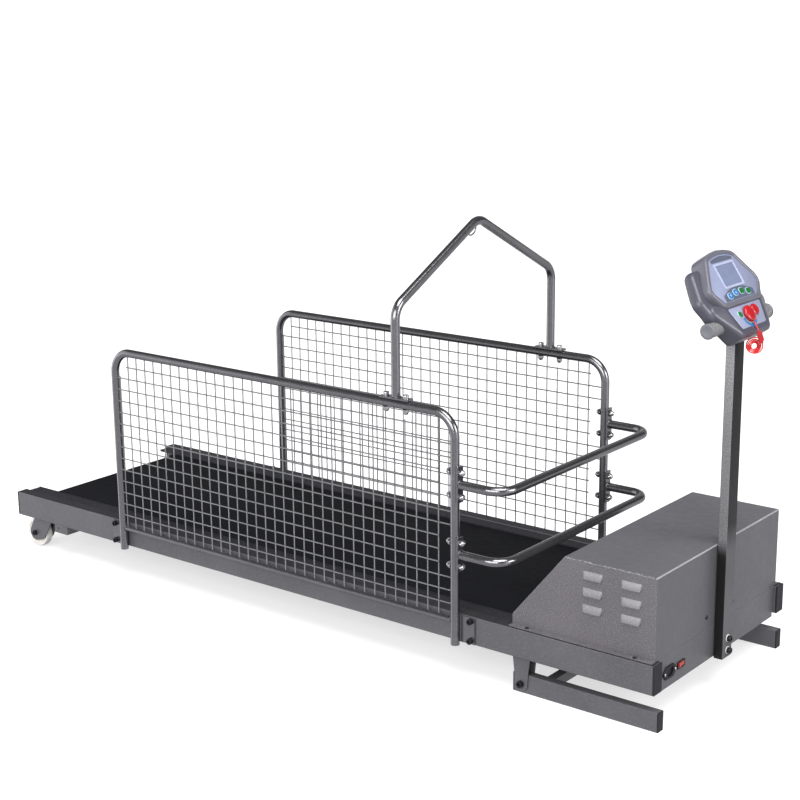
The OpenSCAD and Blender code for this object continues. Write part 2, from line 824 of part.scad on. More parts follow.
module fence_mesh() {
    w = wire_d / 2;
    stub = wire_d;
    low = -low_tube_z + low_tube_d / 2;
    last = mesh_rows;
    color("#c4c4c8") place() translate([0, fence_y, 0]) {
        for (k = [1 : mesh_n - 1]) {
            full = k % 3 == 1;
            rod([col_x(k), -w - 0.05, full ? low : row_z(last) - stub],
                [col_x(k), -w - 0.05, full && !near_foot(col_x(k)) ? min(under_tube(col_x(k)), fence_h - tube_r)
                    : row_z(0) + stub], w);
        }
        rod([col_x(0), -w - 0.05, row_z(last) - stub], [col_x(0), -w - 0.05, row_z(1) + stub], w);
        for (j = [1 : last - 1])
            if (!near_bolt(row_z(j)) && !near_bolt(row_z(j + 1)))
                rod([col_x(mesh_n), -w - 0.05, row_z(j + 1) - stub], [col_x(mesh_n), -w - 0.05, row_z(j) + (j == 1 || near_bolt(row_z(j - 1)) ? stub : -stub)], w);
        for (j = [0 : last]) {
            full = j % 3 == 1;
            x0 = full ? post_x + tube_r : col_x(j == 0 ? 1 : 0) - stub;
            x1 = near_bolt(row_z(j)) || j == 0 ? col_x(mesh_n - 1) + stub
                : full ? front_post - tube_r : col_x(mesh_n) + stub;
            rod([x0, w + 0.05, row_z(j)], [x1, w + 0.05, row_z(j)], w);
        }
    }
}

module fence_mesh_far() {
    fence_mesh();
}

module fence_mesh_near() {
    mirror([0, 1, 0]) fence_mesh();
}

module fence_bolts() {
    color("#161618") place() both() for (x = mount_bolt_x(), s = [-1, 1])
        translate([x, half_w + mount_t, -rail_h / 2 + s * mount_pitch / 2]) rotate([-90, 0, 0]) {
            socket_head(bolt_r);
            translate([0, 0, -mount_t - rail_wall - 8]) cylinder(h = mount_t + rail_wall + 8, r = bolt_r);
        }
}

// The arch's slopes are welded to its three bends by fine beads.
module leash_arch() {
    z0 = fence_h + tube_r;
    rise = atan2(arch_top - arch_side, fence_y);
    u = [0, cos(rise), sin(rise)];
    s = arch_bend * tan((90 - rise) / 2);
    low = [arch_x, -fence_y, arch_side] + s * u;
    high = [arch_x, 0, arch_top] - arch_bend * tan(rise) * u;
    eye = high - 12 * u;
    color("#9a9aa0") place() difference() {
        union() {
            both() {
                rod([arch_x, -fence_y, z0 + 1], [arch_x, -fence_y, arch_side - s], tube_r);
                translate([arch_x, arch_bend - fence_y, arch_side - s]) rotate([90, 0, -90])
                    rotate_extrude(angle = 89.8 - rise) translate([arch_bend, 0]) circle(tube_r);
                rod(low + 0.2 * u, high - 0.2 * u, tube_r);
                for (p = [low, high]) rod(p - 0.6 * u, p + 0.6 * u, tube_r + 0.05);
                translate([arch_x - foot_l / 2, fence_y - tube_r, z0]) cube([foot_l, tube_d, foot_t]);
            }
            translate([arch_x, 0, arch_top - arch_bend / cos(rise)]) rotate([90, 0, 90])
                rotate([0, 0, 90.2 - rise]) rotate_extrude(angle = 2 * rise - 0.4)
                    translate([arch_bend, 0]) circle(tube_r);
            translate(eye - [0, 0, tube_r / cos(rise) + eye_r + 1]) rotate([0, 90, 90])
                rotate_extrude() translate([eye_r + 2, 0]) circle(2.2);
        }
        for (s = [-1, 1], t = [-1, 1])
            translate([arch_x + s * pair_pitch / 2, t * fence_y, z0 - 1])
                cylinder(h = foot_t + 2, r = bolt_r + bolt_c);
    }
}

module arch_bolts() {
    z0 = fence_h + tube_r;
    color("#d8d8dc") place() both() for (s = [-1, 1])
        translate([arch_x + s * pair_pitch / 2, fence_y, 0]) {
            translate([0, 0, z0 + foot_t]) socket_head(bolt_r);
            translate([0, 0, z0 - tube_d - 1]) cylinder(h = tube_d + foot_t + 1, r = bolt_r);
            translate([0, 0, z0 - tube_d]) mirror([0, 0, 1]) dome_nut(bolt_r);
        }
}

module front_bar(z) {
    x0 = front_post + tube_r;
    x1 = front_post + bar_reach;
    path = [[x0 + 1, -fence_y, z], [x1, -fence_y, z], [x1, fence_y, z], [x0 + 1, fence_y, z]];
    color("#9a9aa0") place() difference() {
        union() {
            bent_bar(path, bar_bend, tube_r);
            both() translate([x0, fence_y - tube_r, z - pair_pitch / 2 - 12])
                cube([bar_plate_t, tube_d, pair_pitch + 24]);
        }
        for (s = [-1, 1], t = [-1, 1])
            translate([x0, t * fence_y, z + s * pair_pitch / 2]) along(bolt_r + bolt_c, 12);
    }
}

module front_bar_upper() {
    front_bar(bar_high);
}

module front_bar_lower() {
    front_bar(bar_low);
}

module bar_bolts() {
    x0 = front_post - tube_r;
    color("#d8d8dc") place() both() for (z = bar_z, s = [-1, 1])
        translate([x0, fence_y, z + s * pair_pitch / 2]) {
            rotate([0, -90, 0]) dome_nut(bolt_r);
            rotate([0, 90, 0]) translate([0, 0, -1]) cylinder(h = tube_d + bar_plate_t + 2, r = bolt_r);
            translate([tube_d + bar_plate_t, 0, 0]) rotate([0, 90, 0]) dome_nut(bolt_r);
        }
}

// Legs and wheels

module leg_brackets() {
    color("#77777c") place() both() translate([pivot_x, leg_y, 0]) {
        translate([-20, -leg_w / 2 - 0.5 - fork_t, -rail_h - fork_t])
            cube([40, leg_w + 1 + 2 * fork_t, fork_t]);
        for (s = [-1, 1])
            translate([0, s * (leg_w / 2 + 0.5 + fork_t / 2), pivot_z]) difference() {
                union() {
                    across(15, fork_t);
                    translate([-15, -fork_t / 2, 0]) cube([30, fork_t, 12]);
                    translate([0, fork_t / 2, 0]) rotate([90, 0, 0]) linear_extrude(fork_t)
                        polygon([[-15, 10], [15, 10], [20, -rail_h - pivot_z - 1],
                            [-20, -rail_h - pivot_z - 1]]);
                }
                across(pivot_r + bolt_c, 3 * fork_t);
            }
    }
}

module leg_bolts() {
    out = leg_w / 2 + 0.5 + fork_t;
    color("#1a1a1c") place() both() translate([pivot_x, leg_y, pivot_z]) {
        across(pivot_r, 2 * out);
        translate([0, out, 0]) rotate([-90, 0, 0]) socket_head(pivot_r * 0.9);
        translate([0, -out, 0]) rotate([90, 0, 0]) linear_extrude(7) circle(9, $fn = 6);
    }
}

module leg_frame() {
    color("#808086") place() translate([pivot_x, 0, pivot_z]) {
        both() difference() {
            translate([-leg_rear, leg_y - leg_w / 2, -leg_h / 2]) cube([leg_rear + leg_front, leg_w, leg_h]);
            translate([-leg_rear - 1, leg_y - leg_w / 2 + 1.5, -leg_h / 2 + 1.5])
                cube([leg_rear + leg_front + 2, leg_w - 3, leg_h - 3]);
            translate([0, leg_y, 0]) across(pivot_r + run_c, 2 * leg_w);
        }
        translate([36, -leg_y + leg_w / 2, -10]) cube([20, 2 * leg_y - leg_w, 20]);
    }
}

module leg_plugs() {
    color("#1f1f22") place() both() for (e = [0, 1])
        translate([pivot_x + (e == 1 ? leg_front : -leg_rear), leg_y, pivot_z]) mirror([1 - e, 0, 0]) {
            translate([0, -leg_w / 2, -leg_h / 2]) cube([3, leg_w, leg_h]);
            difference() {
                translate([-8, -leg_w / 2 + 1.8, -leg_h / 2 + 1.8]) cube([8, leg_w - 3.6, leg_h - 3.6]);
                translate([-9, -leg_w / 2 + 4, -leg_h / 2 + 4]) cube([9, leg_w - 8, leg_h - 8]);
            }
        }
}

module wheel_forks() {
    h = -rail_h - wheel_z;
    color("#77777c") place() both() translate([wheel_x, wheel_y, wheel_z]) {
        translate([0, -wheel_w / 2 - 1 - fork_t, h - fork_t])
            cube([fork_l, wheel_w + 2 + 2 * fork_t, fork_t]);
        for (s = [-1, 1])
            translate([0, s * (wheel_w / 2 + 1 + fork_t / 2), 0]) difference() {
                translate([0, fork_t / 2, 0]) rotate([90, 0, 0]) linear_extrude(fork_t) hull() {
                    circle(fork_r);
                    translate([fork_r + 2, 0]) circle(fork_r * 0.7);
                    translate([0, h - 2]) square([fork_l, 2]);
                }
                across(bolt_r + bolt_c, 3 * fork_t);
            }
    }
}

module wheel_bolts() {
    out = wheel_w / 2 + 1 + fork_t;
    color("#1a1a1c") place() both() translate([wheel_x, wheel_y, wheel_z]) {
        across(bolt_r, 2 * out);
        translate([0, out, 0]) rotate([-90, 0, 0]) socket_head(bolt_r);
        translate([0, -out, 0]) rotate([90, 0, 0]) linear_extrude(6) circle(7.4, $fn = 6);
    }
}

module wheel(y) {
    h = wheel_w / 2;
    color("#d5d3cf") place() translate([wheel_x, y, wheel_z]) rotate([90, 0, 0]) rotate_extrude()
        polygon([[bolt_r + run_c, -h], [11, -h], [13, -h + 4], [wheel_r - 9, -h + 4],
            [wheel_r - 7, -h + 1], [wheel_r - 2, -h + 1], [wheel_r, -h + 4], [wheel_r, h - 4],
            [wheel_r - 2, h - 1], [wheel_r - 7, h - 1], [wheel_r - 9, h - 4], [13, h - 4],
            [11, h], [bolt_r + run_c, h]]);
}

module wheel_near() {
    wheel(-wheel_y);
}

module wheel_far() {
    wheel(wheel_y);
}

// Mast and console

function mast_bolt_z() = [-mast_drop + 15, -mast_drop + 40];

module mast() {
    z1 = cross_h - cross_r * 0.4;
    color("#7c7c82") place() difference() {
        translate([mast_x - mast_d / 2, -mast_w / 2, -mast_drop]) cube([mast_d, mast_w, mast_drop + z1]);
        translate([mast_x - mast_d / 2 + 1.5, -mast_w / 2 + 1.5, -mast_drop - 1])
            cube([mast_d - 3, mast_w - 3, mast_drop + z1 - 40]);
        translate([cross_x, 0, cross_h]) across(cross_r, 2 * mast_w);
        for (z = mast_bolt_z()) translate([mast_x, 0, z]) along(bolt_r + bolt_c, 2 * mast_d);
    }
}

module mast_bolts() {
    color("#161618") place() for (z = mast_bolt_z()) translate([mast_x + mast_d / 2, 0, z])
        rotate([0, 90, 0]) {
            cylinder(h = 1.6, r = bolt_r * 2);
            translate([0, 0, 1.6]) socket_head(bolt_r);
            translate([0, 0, -mast_d - 12]) cylinder(h = mast_d + 12, r = bolt_r);
            translate([0, 0, -mast_d - hood_t - 6 - move_c]) linear_extrude(6) circle(7.4, $fn = 6);
        }
}

module cross_tube() {
    color("#8a8a90") place() translate([cross_x, 0, cross_h]) difference() {
        across(cross_r, cross_l);
        for (s = [-1, 1]) translate([0, s * cross_l / 2, 0]) across(cross_r - 1.5, 40);
    }
}

module cross_tube_caps() {
    color("#5d5d63") place() both() translate([cross_x, cross_l / 2, cross_h]) rotate([-90, 0, 0]) {
        cylinder(h = 3, r = cross_r + 1);
        translate([0, 0, -10]) cylinder(h = 10, r = cross_r - 1.5 - bolt_c);
    }
}

// Outline of the pod, drawn in by g.
module pod_outline(g) {
    hull() for (s = [-1, 1]) {
        translate([-33, s * 41]) circle(14 - g, $fn = 32);
        translate([34, s * 81]) circle(16 - g, $fn = 32);
        translate([51, s * 32]) circle(max(9.5 - g, 0.4), $fn = 32);
    }
}

module pod_body() {
    hull() {
        translate([0, 0, -pod_d]) linear_extrude(1) pod_outline(1);
        translate([0, 0, -pod_d + 3]) linear_extrude(pod_d - 5) pod_outline(0);
        translate([0, 0, 0]) linear_extrude(1.5) pod_outline(3);
    }
}

function oval_b(i) = [41, 37, 37, 41][i];
function oval_a(i) = oval_step * (i - 1.5);
start_b = 80;
start_a = -33;
stop_b = 79;
stop_a = 27;

module console_pod() {
    color("#44434b") place() face() difference() {
        pod_body();
        translate([0, 0, 1.5 - rim_d]) linear_extrude(20) pod_outline(rim_w);
        for (i = [0 : 3])
            translate([oval_b(i), oval_a(i), -8]) linear_extrude(20) oval(oval_w + 2 * move_c, oval_h + 2 * move_c);
        housing_body();
        translate([0, 0, 1.5 - rim_d - 3]) linear_extrude(9) square([lcd_h + 1, lcd_w + 1], center = true);
    }
}

module faceplate() {
    color("#a9b0c4") place() face() translate([0, 0, 1.5 - rim_d]) difference() {
        linear_extrude(1.8) pod_outline(rim_w + move_c);
        for (i = [0 : 3])
            translate([oval_b(i), oval_a(i), -1]) linear_extrude(5) oval(oval_w + 2 * move_c, oval_h + 2 * move_c);
        translate([0, 0, -1]) linear_extrude(5) square([lcd_h, lcd_w], center = true);
    }
}

module display() {
    color("#8f9cbf") place() face() translate([0, 0, 1.5 - rim_d]) {
        translate([0, 0, -2.7]) linear_extrude(2.6) square([lcd_h, lcd_w], center = true);
        translate([0, 0, 1.8]) linear_extrude(1.4) difference() {
            square([lcd_h + 7, lcd_w + 8], center = true);
            square([lcd_h, lcd_w], center = true);
        }
    }
}

module oval_button(i) {
    translate([oval_b(i), oval_a(i), 0]) {
        translate([0, 0, -4.5]) linear_extrude(5.7) oval(oval_w, oval_h);
        translate([0, 0, 1.2]) linear_extrude(0.8) oval(oval_w - 2, oval_h - 2);
    }
}

module button_1() {
    color("#3f8fc4") place() face() oval_button(0);
}

module button_2() {
    color("#3f8fc4") place() face() oval_button(1);
}

module button_3() {
    color("#2f8f4a") place() face() oval_button(2);
}

module button_4() {
    color("#2f8f4a") place() face() oval_button(3);
}

module housing_body() {
    hull() for (s = [-1, 1]) {
        translate([-14, s * 84, -50]) cylinder(h = 30, r = 20, $fn = 32);
        translate([52, s * 88, -50]) cylinder(h = 34, r = 18, $fn = 32);
        translate([20, s * 66, -62]) cylinder(h = 20, r = 24, $fn = 32);
    }
    hull() for (s = [-1, 1]) {
        translate([62, s * 80, -46]) cylinder(h = 40, r = 14, $fn = 32);
        translate([66, s * 64, chin_n - 2]) cylinder(h = 2, r = 10, $fn = 32);
        translate([chin_b - 12, s * 52, chin_n - 3]) cylinder(h = 3, r = 8, $fn = 32);
        translate([chin_b - 12, s * 52, -46]) cylinder(h = 40, r = 12, $fn = 32);
    }
}

module panel_outline(g) {
    hull() for (s = [-1, 1]) {
        translate([66.5, s * 60]) circle(4 - g, $fn = 32);
        translate([103, s * 45]) circle(5 - g, $fn = 32);
    }
}

module console_housing() {
    color("#4b4a52") place() difference() {
        face() difference() {
            housing_body();
            translate([0, 0, chin_n - panel_t]) linear_extrude(20) panel_outline(0);
            translate([start_b, start_a, -10]) linear_extrude(20) oval(17 + 2 * move_c, 15 + 2 * move_c);
            translate([stop_b, stop_a, -10]) cylinder(h = 20, r = stop_r + move_c);
        }
        translate([cross_x, 0, cross_h]) across(cross_r + bolt_c, 3 * cross_l);
        translate([mast_x, 0, cross_h - 60 + cross_r]) cube([mast_d + 2 * move_c, mast_w + 2 * move_c, 120], center = true);
    }
}

module lower_panel() {
    color("#9aa2ba") place() face() translate([0, 0, chin_n - panel_t]) difference() {
        linear_extrude(panel_t) panel_outline(move_c);
        translate([start_b, start_a, -1]) linear_extrude(5) oval(17 + 2 * move_c, 15 + 2 * move_c);
        translate([stop_b, stop_a, -1]) cylinder(h = 5, r = stop_r + move_c);
    }
}

module start_button() {
    color("#2f8f4a") place() face() translate([start_b, start_a, 0]) {
        translate([0, 0, -8]) linear_extrude(6) oval(17, 15);
        translate([0, 0, -2]) linear_extrude(0.8) oval(15, 13);
    }
}

module stop_button() {
    color("#c8242c") place() face() translate([stop_b, stop_a, -8]) {
        cylinder(h = 8, r = stop_r);
        translate([0, 0, 8]) cylinder(h = 1.5, r1 = stop_r, r2 = stop_r - 2);
    }
}

module safety_key() {
    color("#d6222b") place() face() translate([key_b, key_a, chin_n + move_c]) rotate_extrude()
        polygon([[0, 0], [key_r - 1, 0], [key_r, 1.5], [key_r, 5.5], [key_r - 3, 7.8], [5, key_t], [0, key_t]]);
}

// Lanyard: from the key's lower edge over the chin, down to the bunched loops and the clip.

function on_face(b, a, n) = [face_x + b * sin(face_lean) + n * cos(face_lean), a,
    face_z - b * cos(face_lean) + n * sin(face_lean)];
cord_r = cord_d / 2;
key_exit = on_face(key_b + key_r, key_a, chin_n + move_c + 3.5);
route = [for (p = [[0, 0, 0], [2.2, 0, -3.3], [4.4, 0, -6.6], [6.6, 0, -9.8], [8.7, 0, -13.2],
    [10.3, 0, -17], [11.3, 0, -21], [11.7, 0, -24.5], [11.5, -0.2, -27.3], [10.6, -0.9, -29.5],
    [9, -2.2, -30.4], [7, -3.8, -30.4]]) key_exit + p];
hank_turn = 38;
hank_h = [cos(hank_turn), sin(hank_turn), 0];
hank_m = [sin(hank_turn), -cos(hank_turn), 0];
loop_gap = 0.9;
loop_step = cord_d + loop_gap;
turns_in = 2.75;
turns = 5.8;
hank_in = hank_r - turns_in * loop_step;
hank_steps = 138;
// Radius and offset of the loops: in, half a turn across at the core, and out again. The last
// stretch leaves the loops forwards, for the clip.
function hank_rad(t) = hank_in + loop_step * (t < turns_in ? turns_in - t : max(0, t - turns_in - 0.5));
function ease(t, a, b) = t < a ? 0 : t > b ? 1 : (1 - cos(180 * (t - a) / (b - a))) / 2;
function hank_off(t) = loop_step * ease(t, turns_in, turns_in + 0.5) + 5.5 * ease(t, turns - 0.4, turns);
hank_c = route[len(route) - 1] - cord_d * hank_h - [0, 0, hank_r];
loops = [for (i = [0 : hank_steps]) let (t = turns * i / hank_steps, a = 90 + 360 * t)
    hank_c + hank_rad(t) * (cos(a) * hank_h + [0, 0, sin(a)]) + hank_off(t) * hank_m];
hank_lean = 360 * (turns - 5.75);
hank_up = [0, 0, cos(hank_lean)] - sin(hank_lean) * hank_h;
hank = concat([route[len(route) - 1]], loops, [loops[hank_steps] + cord_d * hank_up]);
clip_at = hank[len(hank) - 1];
gaps = [for (i = [0 : len(hank) - 1], j = [i + 12 : len(hank) - 1]) norm(hank[i] - hank[j]) - cord_d];
echo(least_gap_between_loops = min(gaps));

module lanyard_run() {
    color("#c8242c") place() swept(route, cord_r, 8, [0, 1, 0]);
}

module lanyard_hank() {
    color("#c8242c") place() swept(hank, cord_r, 6, hank_m);
}

module lanyard_clip() {
    color("#d6222b") place() translate(clip_at) rotate([0, 0, hank_turn]) rotate([0, -hank_lean, 0]) {
        translate([-2.5, -2.5, 0]) cube([5, 5, 4]);
        translate([-5, -3.2, 4]) cube([10, 2.4, 19]);
        translate([-5, 0.8, 4]) cube([10, 2.4, 19]);
        translate([0, 0, 9]) along(1.8, 8);
    }
}

rail_near();
rail_far();
rail_caps();
foot_strips();
deck_board();
running_belt();
inner_cross_tubes();
rear_cross_tube();
front_roller();
rear_roller();
roller_shafts();
roller_pulley();
belt_adjusters();
motor();
motor_rotor();
drive_belt();
controller();
tray();
hood();
panel_screws();
mains_inlet();
switch_bezel();
switch_rocker();
fence_frame_near();
fence_frame_far();
fence_mesh_near();
fence_mesh_far();
fence_bolts();
leash_arch();
arch_bolts();
front_bar_upper();
front_bar_lower();
bar_bolts();
leg_brackets();
leg_bolts();
leg_frame();
leg_plugs();
wheel_forks();
wheel_near();
wheel_far();
wheel_bolts();
mast();
mast_bolts();
cross_tube();
cross_tube_caps();
console_housing();
console_pod();
faceplate();
display();
button_1();
button_2();
button_3();
button_4();
lower_panel();
start_button();
stop_button();
safety_key();
lanyard_run();
lanyard_hank();
lanyard_clip();
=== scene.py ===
"""The looks of the dog treadmill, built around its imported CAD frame. Blender 4.5."""

from math import acos, atan2, copysign, cos, degrees, pi, radians, sin, sqrt, tan

import bmesh
import bpy
from mathutils import Matrix, Vector


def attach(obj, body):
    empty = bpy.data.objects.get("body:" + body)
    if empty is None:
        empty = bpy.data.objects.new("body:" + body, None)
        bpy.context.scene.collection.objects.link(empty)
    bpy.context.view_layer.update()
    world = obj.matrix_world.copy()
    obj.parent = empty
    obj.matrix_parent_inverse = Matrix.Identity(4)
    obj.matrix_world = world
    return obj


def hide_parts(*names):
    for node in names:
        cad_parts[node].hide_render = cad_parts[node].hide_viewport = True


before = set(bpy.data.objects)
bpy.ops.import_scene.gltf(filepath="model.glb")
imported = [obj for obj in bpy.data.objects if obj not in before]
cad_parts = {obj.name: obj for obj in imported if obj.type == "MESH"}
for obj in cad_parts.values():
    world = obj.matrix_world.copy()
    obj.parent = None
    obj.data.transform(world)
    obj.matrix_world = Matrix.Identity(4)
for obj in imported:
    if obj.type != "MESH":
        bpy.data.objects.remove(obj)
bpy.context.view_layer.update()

# Sizes, as in the part's source, in millimetres. X runs from the rails' rear ends, Z from their tops.
GAP = 0.3
RAIL_L, RAIL_H, RAIL_W, HALF_W, DECK = 1830.0, 60.0, 30.0, 275.0, 138.0
RAIL_IN = HALF_W - RAIL_W
BELT_W, BELT_T, BELT_DROP, ROLLER_R = 420.0, 2.0, 4.0, 25.0
BOARD_TOP, ROLL_IN = -BELT_DROP - BELT_T, ROLLER_R + GAP
REAR_AXIS, FRONT_AXIS, AXIS_Z = 74.0, 1570.0, BOARD_TOP - ROLL_IN
STRIP_Y0 = BELT_W / 2 + 2
TUBE_R, LOW_R = 9.5, 6.0
FENCE_Y = HALF_W + GAP + TUBE_R
FENCE_OUT = FENCE_Y + TUBE_R
POST_X, FENCE_L, FENCE_H, LOW_Z, FENCE_BEND, POST_DROP = 400.0, 980.0, 420.0, 12.0, 50.0, 65.0
FRONT_POST = POST_X + FENCE_L
MOUNT_W, MOUNT_T, MOUNT_PITCH, MOUNT_LAP, MOUNT_HOLE, PAIR = 44.0, 4.0, 42.0, 4.0, 30.5, 50.0
BOLT_R = 4.0
ARCH_X, ARCH_SIDE, ARCH_TOP, ARCH_BEND, FOOT_L, FOOT_T = 1233.0, 615.0, 762.0, 42.0, 74.0, 4.0
BAR_REACH, BAR_HIGH, BAR_LOW, BAR_BEND, BAR_PLATE = 117.0, 277.0, 130.0, 42.0, 4.0
MESH_P, WIRE_D, MESH_DROP = 28.0, 3.0, 23.0
HOOD_X, HOOD_L, HOOD_TOP, HOOD_H, HOOD_LIP, HOOD_T = 1824.0, 324.0, 203.0, 168.0, 22.0, 1.5
HOOD_Y, FLANGE = HALF_W - 18.0, 13.0
LOUVRE_W, LOUVRE_H, LOUVRE_OUT = 43.0, 15.5, 4.0
LOUVRE_X, LOUVRE_Z, LOUVRE_PX, LOUVRE_PZ = HOOD_X - 54, 107, 85, 34
PLATE_Z, INLET_Y, SWITCH_Y = -37, 201, 155
PIVOT_X, LEG_H, LEG_W = 1529.0, 40.0, 20.0
PIVOT_Z, LEG_Y = -DECK + LEG_H / 2, HALF_W - 12 - LEG_W / 2
WHEEL_R, WHEEL_W, WHEEL_X = 37.0, 22.0, 48.0
WHEEL_Y, WHEEL_Z = HALF_W - 12 - WHEEL_W / 2, WHEEL_R - DECK
MAST_W, MAST_D, MAST_DROP = 40.0, 20.0, 71.0
MAST_X = HOOD_X + MAST_D / 2 + GAP
CROSS_X, CROSS_H, CROSS_R, CROSS_L = MAST_X + 3, 613.0, 14.0, 240.0
LEAN = radians(34)
FACE_X = CROSS_X - 85 * sin(LEAN) + 31 * cos(LEAN)
FACE_Z = CROSS_H + 85 * cos(LEAN) + 31 * sin(LEAN)
CHIN_B, CHIN_N, PANEL_T, RIM_TOP, RIM_D, RIM_W = 124.0, -3.0, 1.5, 1.5, 4.0, 10.5
LCD_W, LCD_H, OVAL_W, OVAL_H, OVAL_STEP, START_W, START_H = 69.0, 43.0, 19.0, 14.0, 24.0, 17, 15
KEY_B, KEY_A, KEY_N, KEY_R, STOP_R = 84.0, -4.0, CHIN_N + GAP, 16.5, 11.5
START_AT, STOP_AT = (80, -33), (79, 27)
X_MID = (FACE_X + (CHIN_B - 4) * sin(LEAN) + CHIN_N * cos(LEAN) - 4) / 2
MM = 0.001
SIDES = (("near", -1), ("far", 1))

# The console's face: b down it, a across and n out of it.
FACE = Matrix.Translation((FACE_X, 0, FACE_Z)) @ Matrix.Rotation(pi / 2 - LEAN, 4, "Y")

# The camera, fitted to the photo.
AZ, EL, ROLL = radians(38.196), radians(14.32), radians(-0.577)
CAMERA_AT, FOCAL_PX, PHOTO_PX, SENSOR = (2.2738, -2.7867, 1.3789), 1632.5, 800, 36

# How bright the room's sides are, and the lamps: key and front in watts.
ROOM, ROOM_SIDE, ROOM_TOP, ROOM_FRONT, ROOM_FAR = 0.14, 0.9, 0.5, 0.45, 0.5
KEY_WATTS, FRONT_WATTS, SUN, FLOOR_GLOW, BACKDROP = 165, 78, 3.0, 0.62, 1.05


def at(x, y, z):
    """A point of the source's own coordinates, in metres of the shared frame."""
    return Vector(((x - X_MID) * MM, y * MM, (z + DECK) * MM))


def axes(x, y, z, origin):
    """Matrix with the axes x, y and z, at origin."""
    return Matrix.Translation(origin) @ Matrix((x, y, z)).transposed().to_4x4()


def link(name, data):
    """A new object in the scene."""
    o = bpy.data.objects.new(name, data)
    bpy.context.scene.collection.objects.link(o)
    return o


back = Vector((sin(AZ) * cos(EL), -cos(AZ) * cos(EL), sin(EL)))
right = Vector((cos(AZ), sin(AZ), 0))
up = back.cross(right)
right, up = cos(ROLL) * right + sin(ROLL) * up, -sin(ROLL) * right + cos(ROLL) * up
cam_data = bpy.data.cameras.new("camera")
cam_data.sensor_width, cam_data.lens = SENSOR, SENSOR * FOCAL_PX / PHOTO_PX
cam_data.clip_start, cam_data.clip_end = 0.1, 100
cam = link("camera", cam_data)
cam.matrix_world = axes(right, up, back, CAMERA_AT)
bpy.context.scene.camera = cam


# Materials.

def node_maker(owner):
    """Empties the owner's nodes and returns what adds one. Its inputs take values or other nodes' outputs,
    and it gives the output that is asked for, or with None the node."""
    owner.use_nodes = True
    tree = owner.node_tree
    tree.nodes.clear()

    def node(kind, ins=(), out=0, **sets):
        n = tree.nodes.new("ShaderNode" + kind)
        for k, v in sets.items():
            setattr(n, k, v)
        for k, v in dict(ins).items():
            if hasattr(v, "links"):
                tree.links.new(v, n.inputs[k])
            else:
                n.inputs[k].default_value = v
        return n if out is None else n.outputs[out]
    return node


def remap(node, src, lo, hi, to_lo, to_hi, **sets):
    ins = {"Value": src, "From Min": lo, "From Max": hi, "To Min": to_lo, "To Max": to_hi}
    return node("MapRange", ins, "Result", **sets)


FLECK = (None, 400, 0.5, 0.55, 0.75)
RELIEF = (0.2, 900, 0.0002, False)
EDGE_WEAR_AND_HIGHLIGHT = (None, 0.6, 0.0012)


def filled(given, usual):
    """A tuple that may stop early, its rest from the usual one."""
    return (*given, *usual[len(given):])


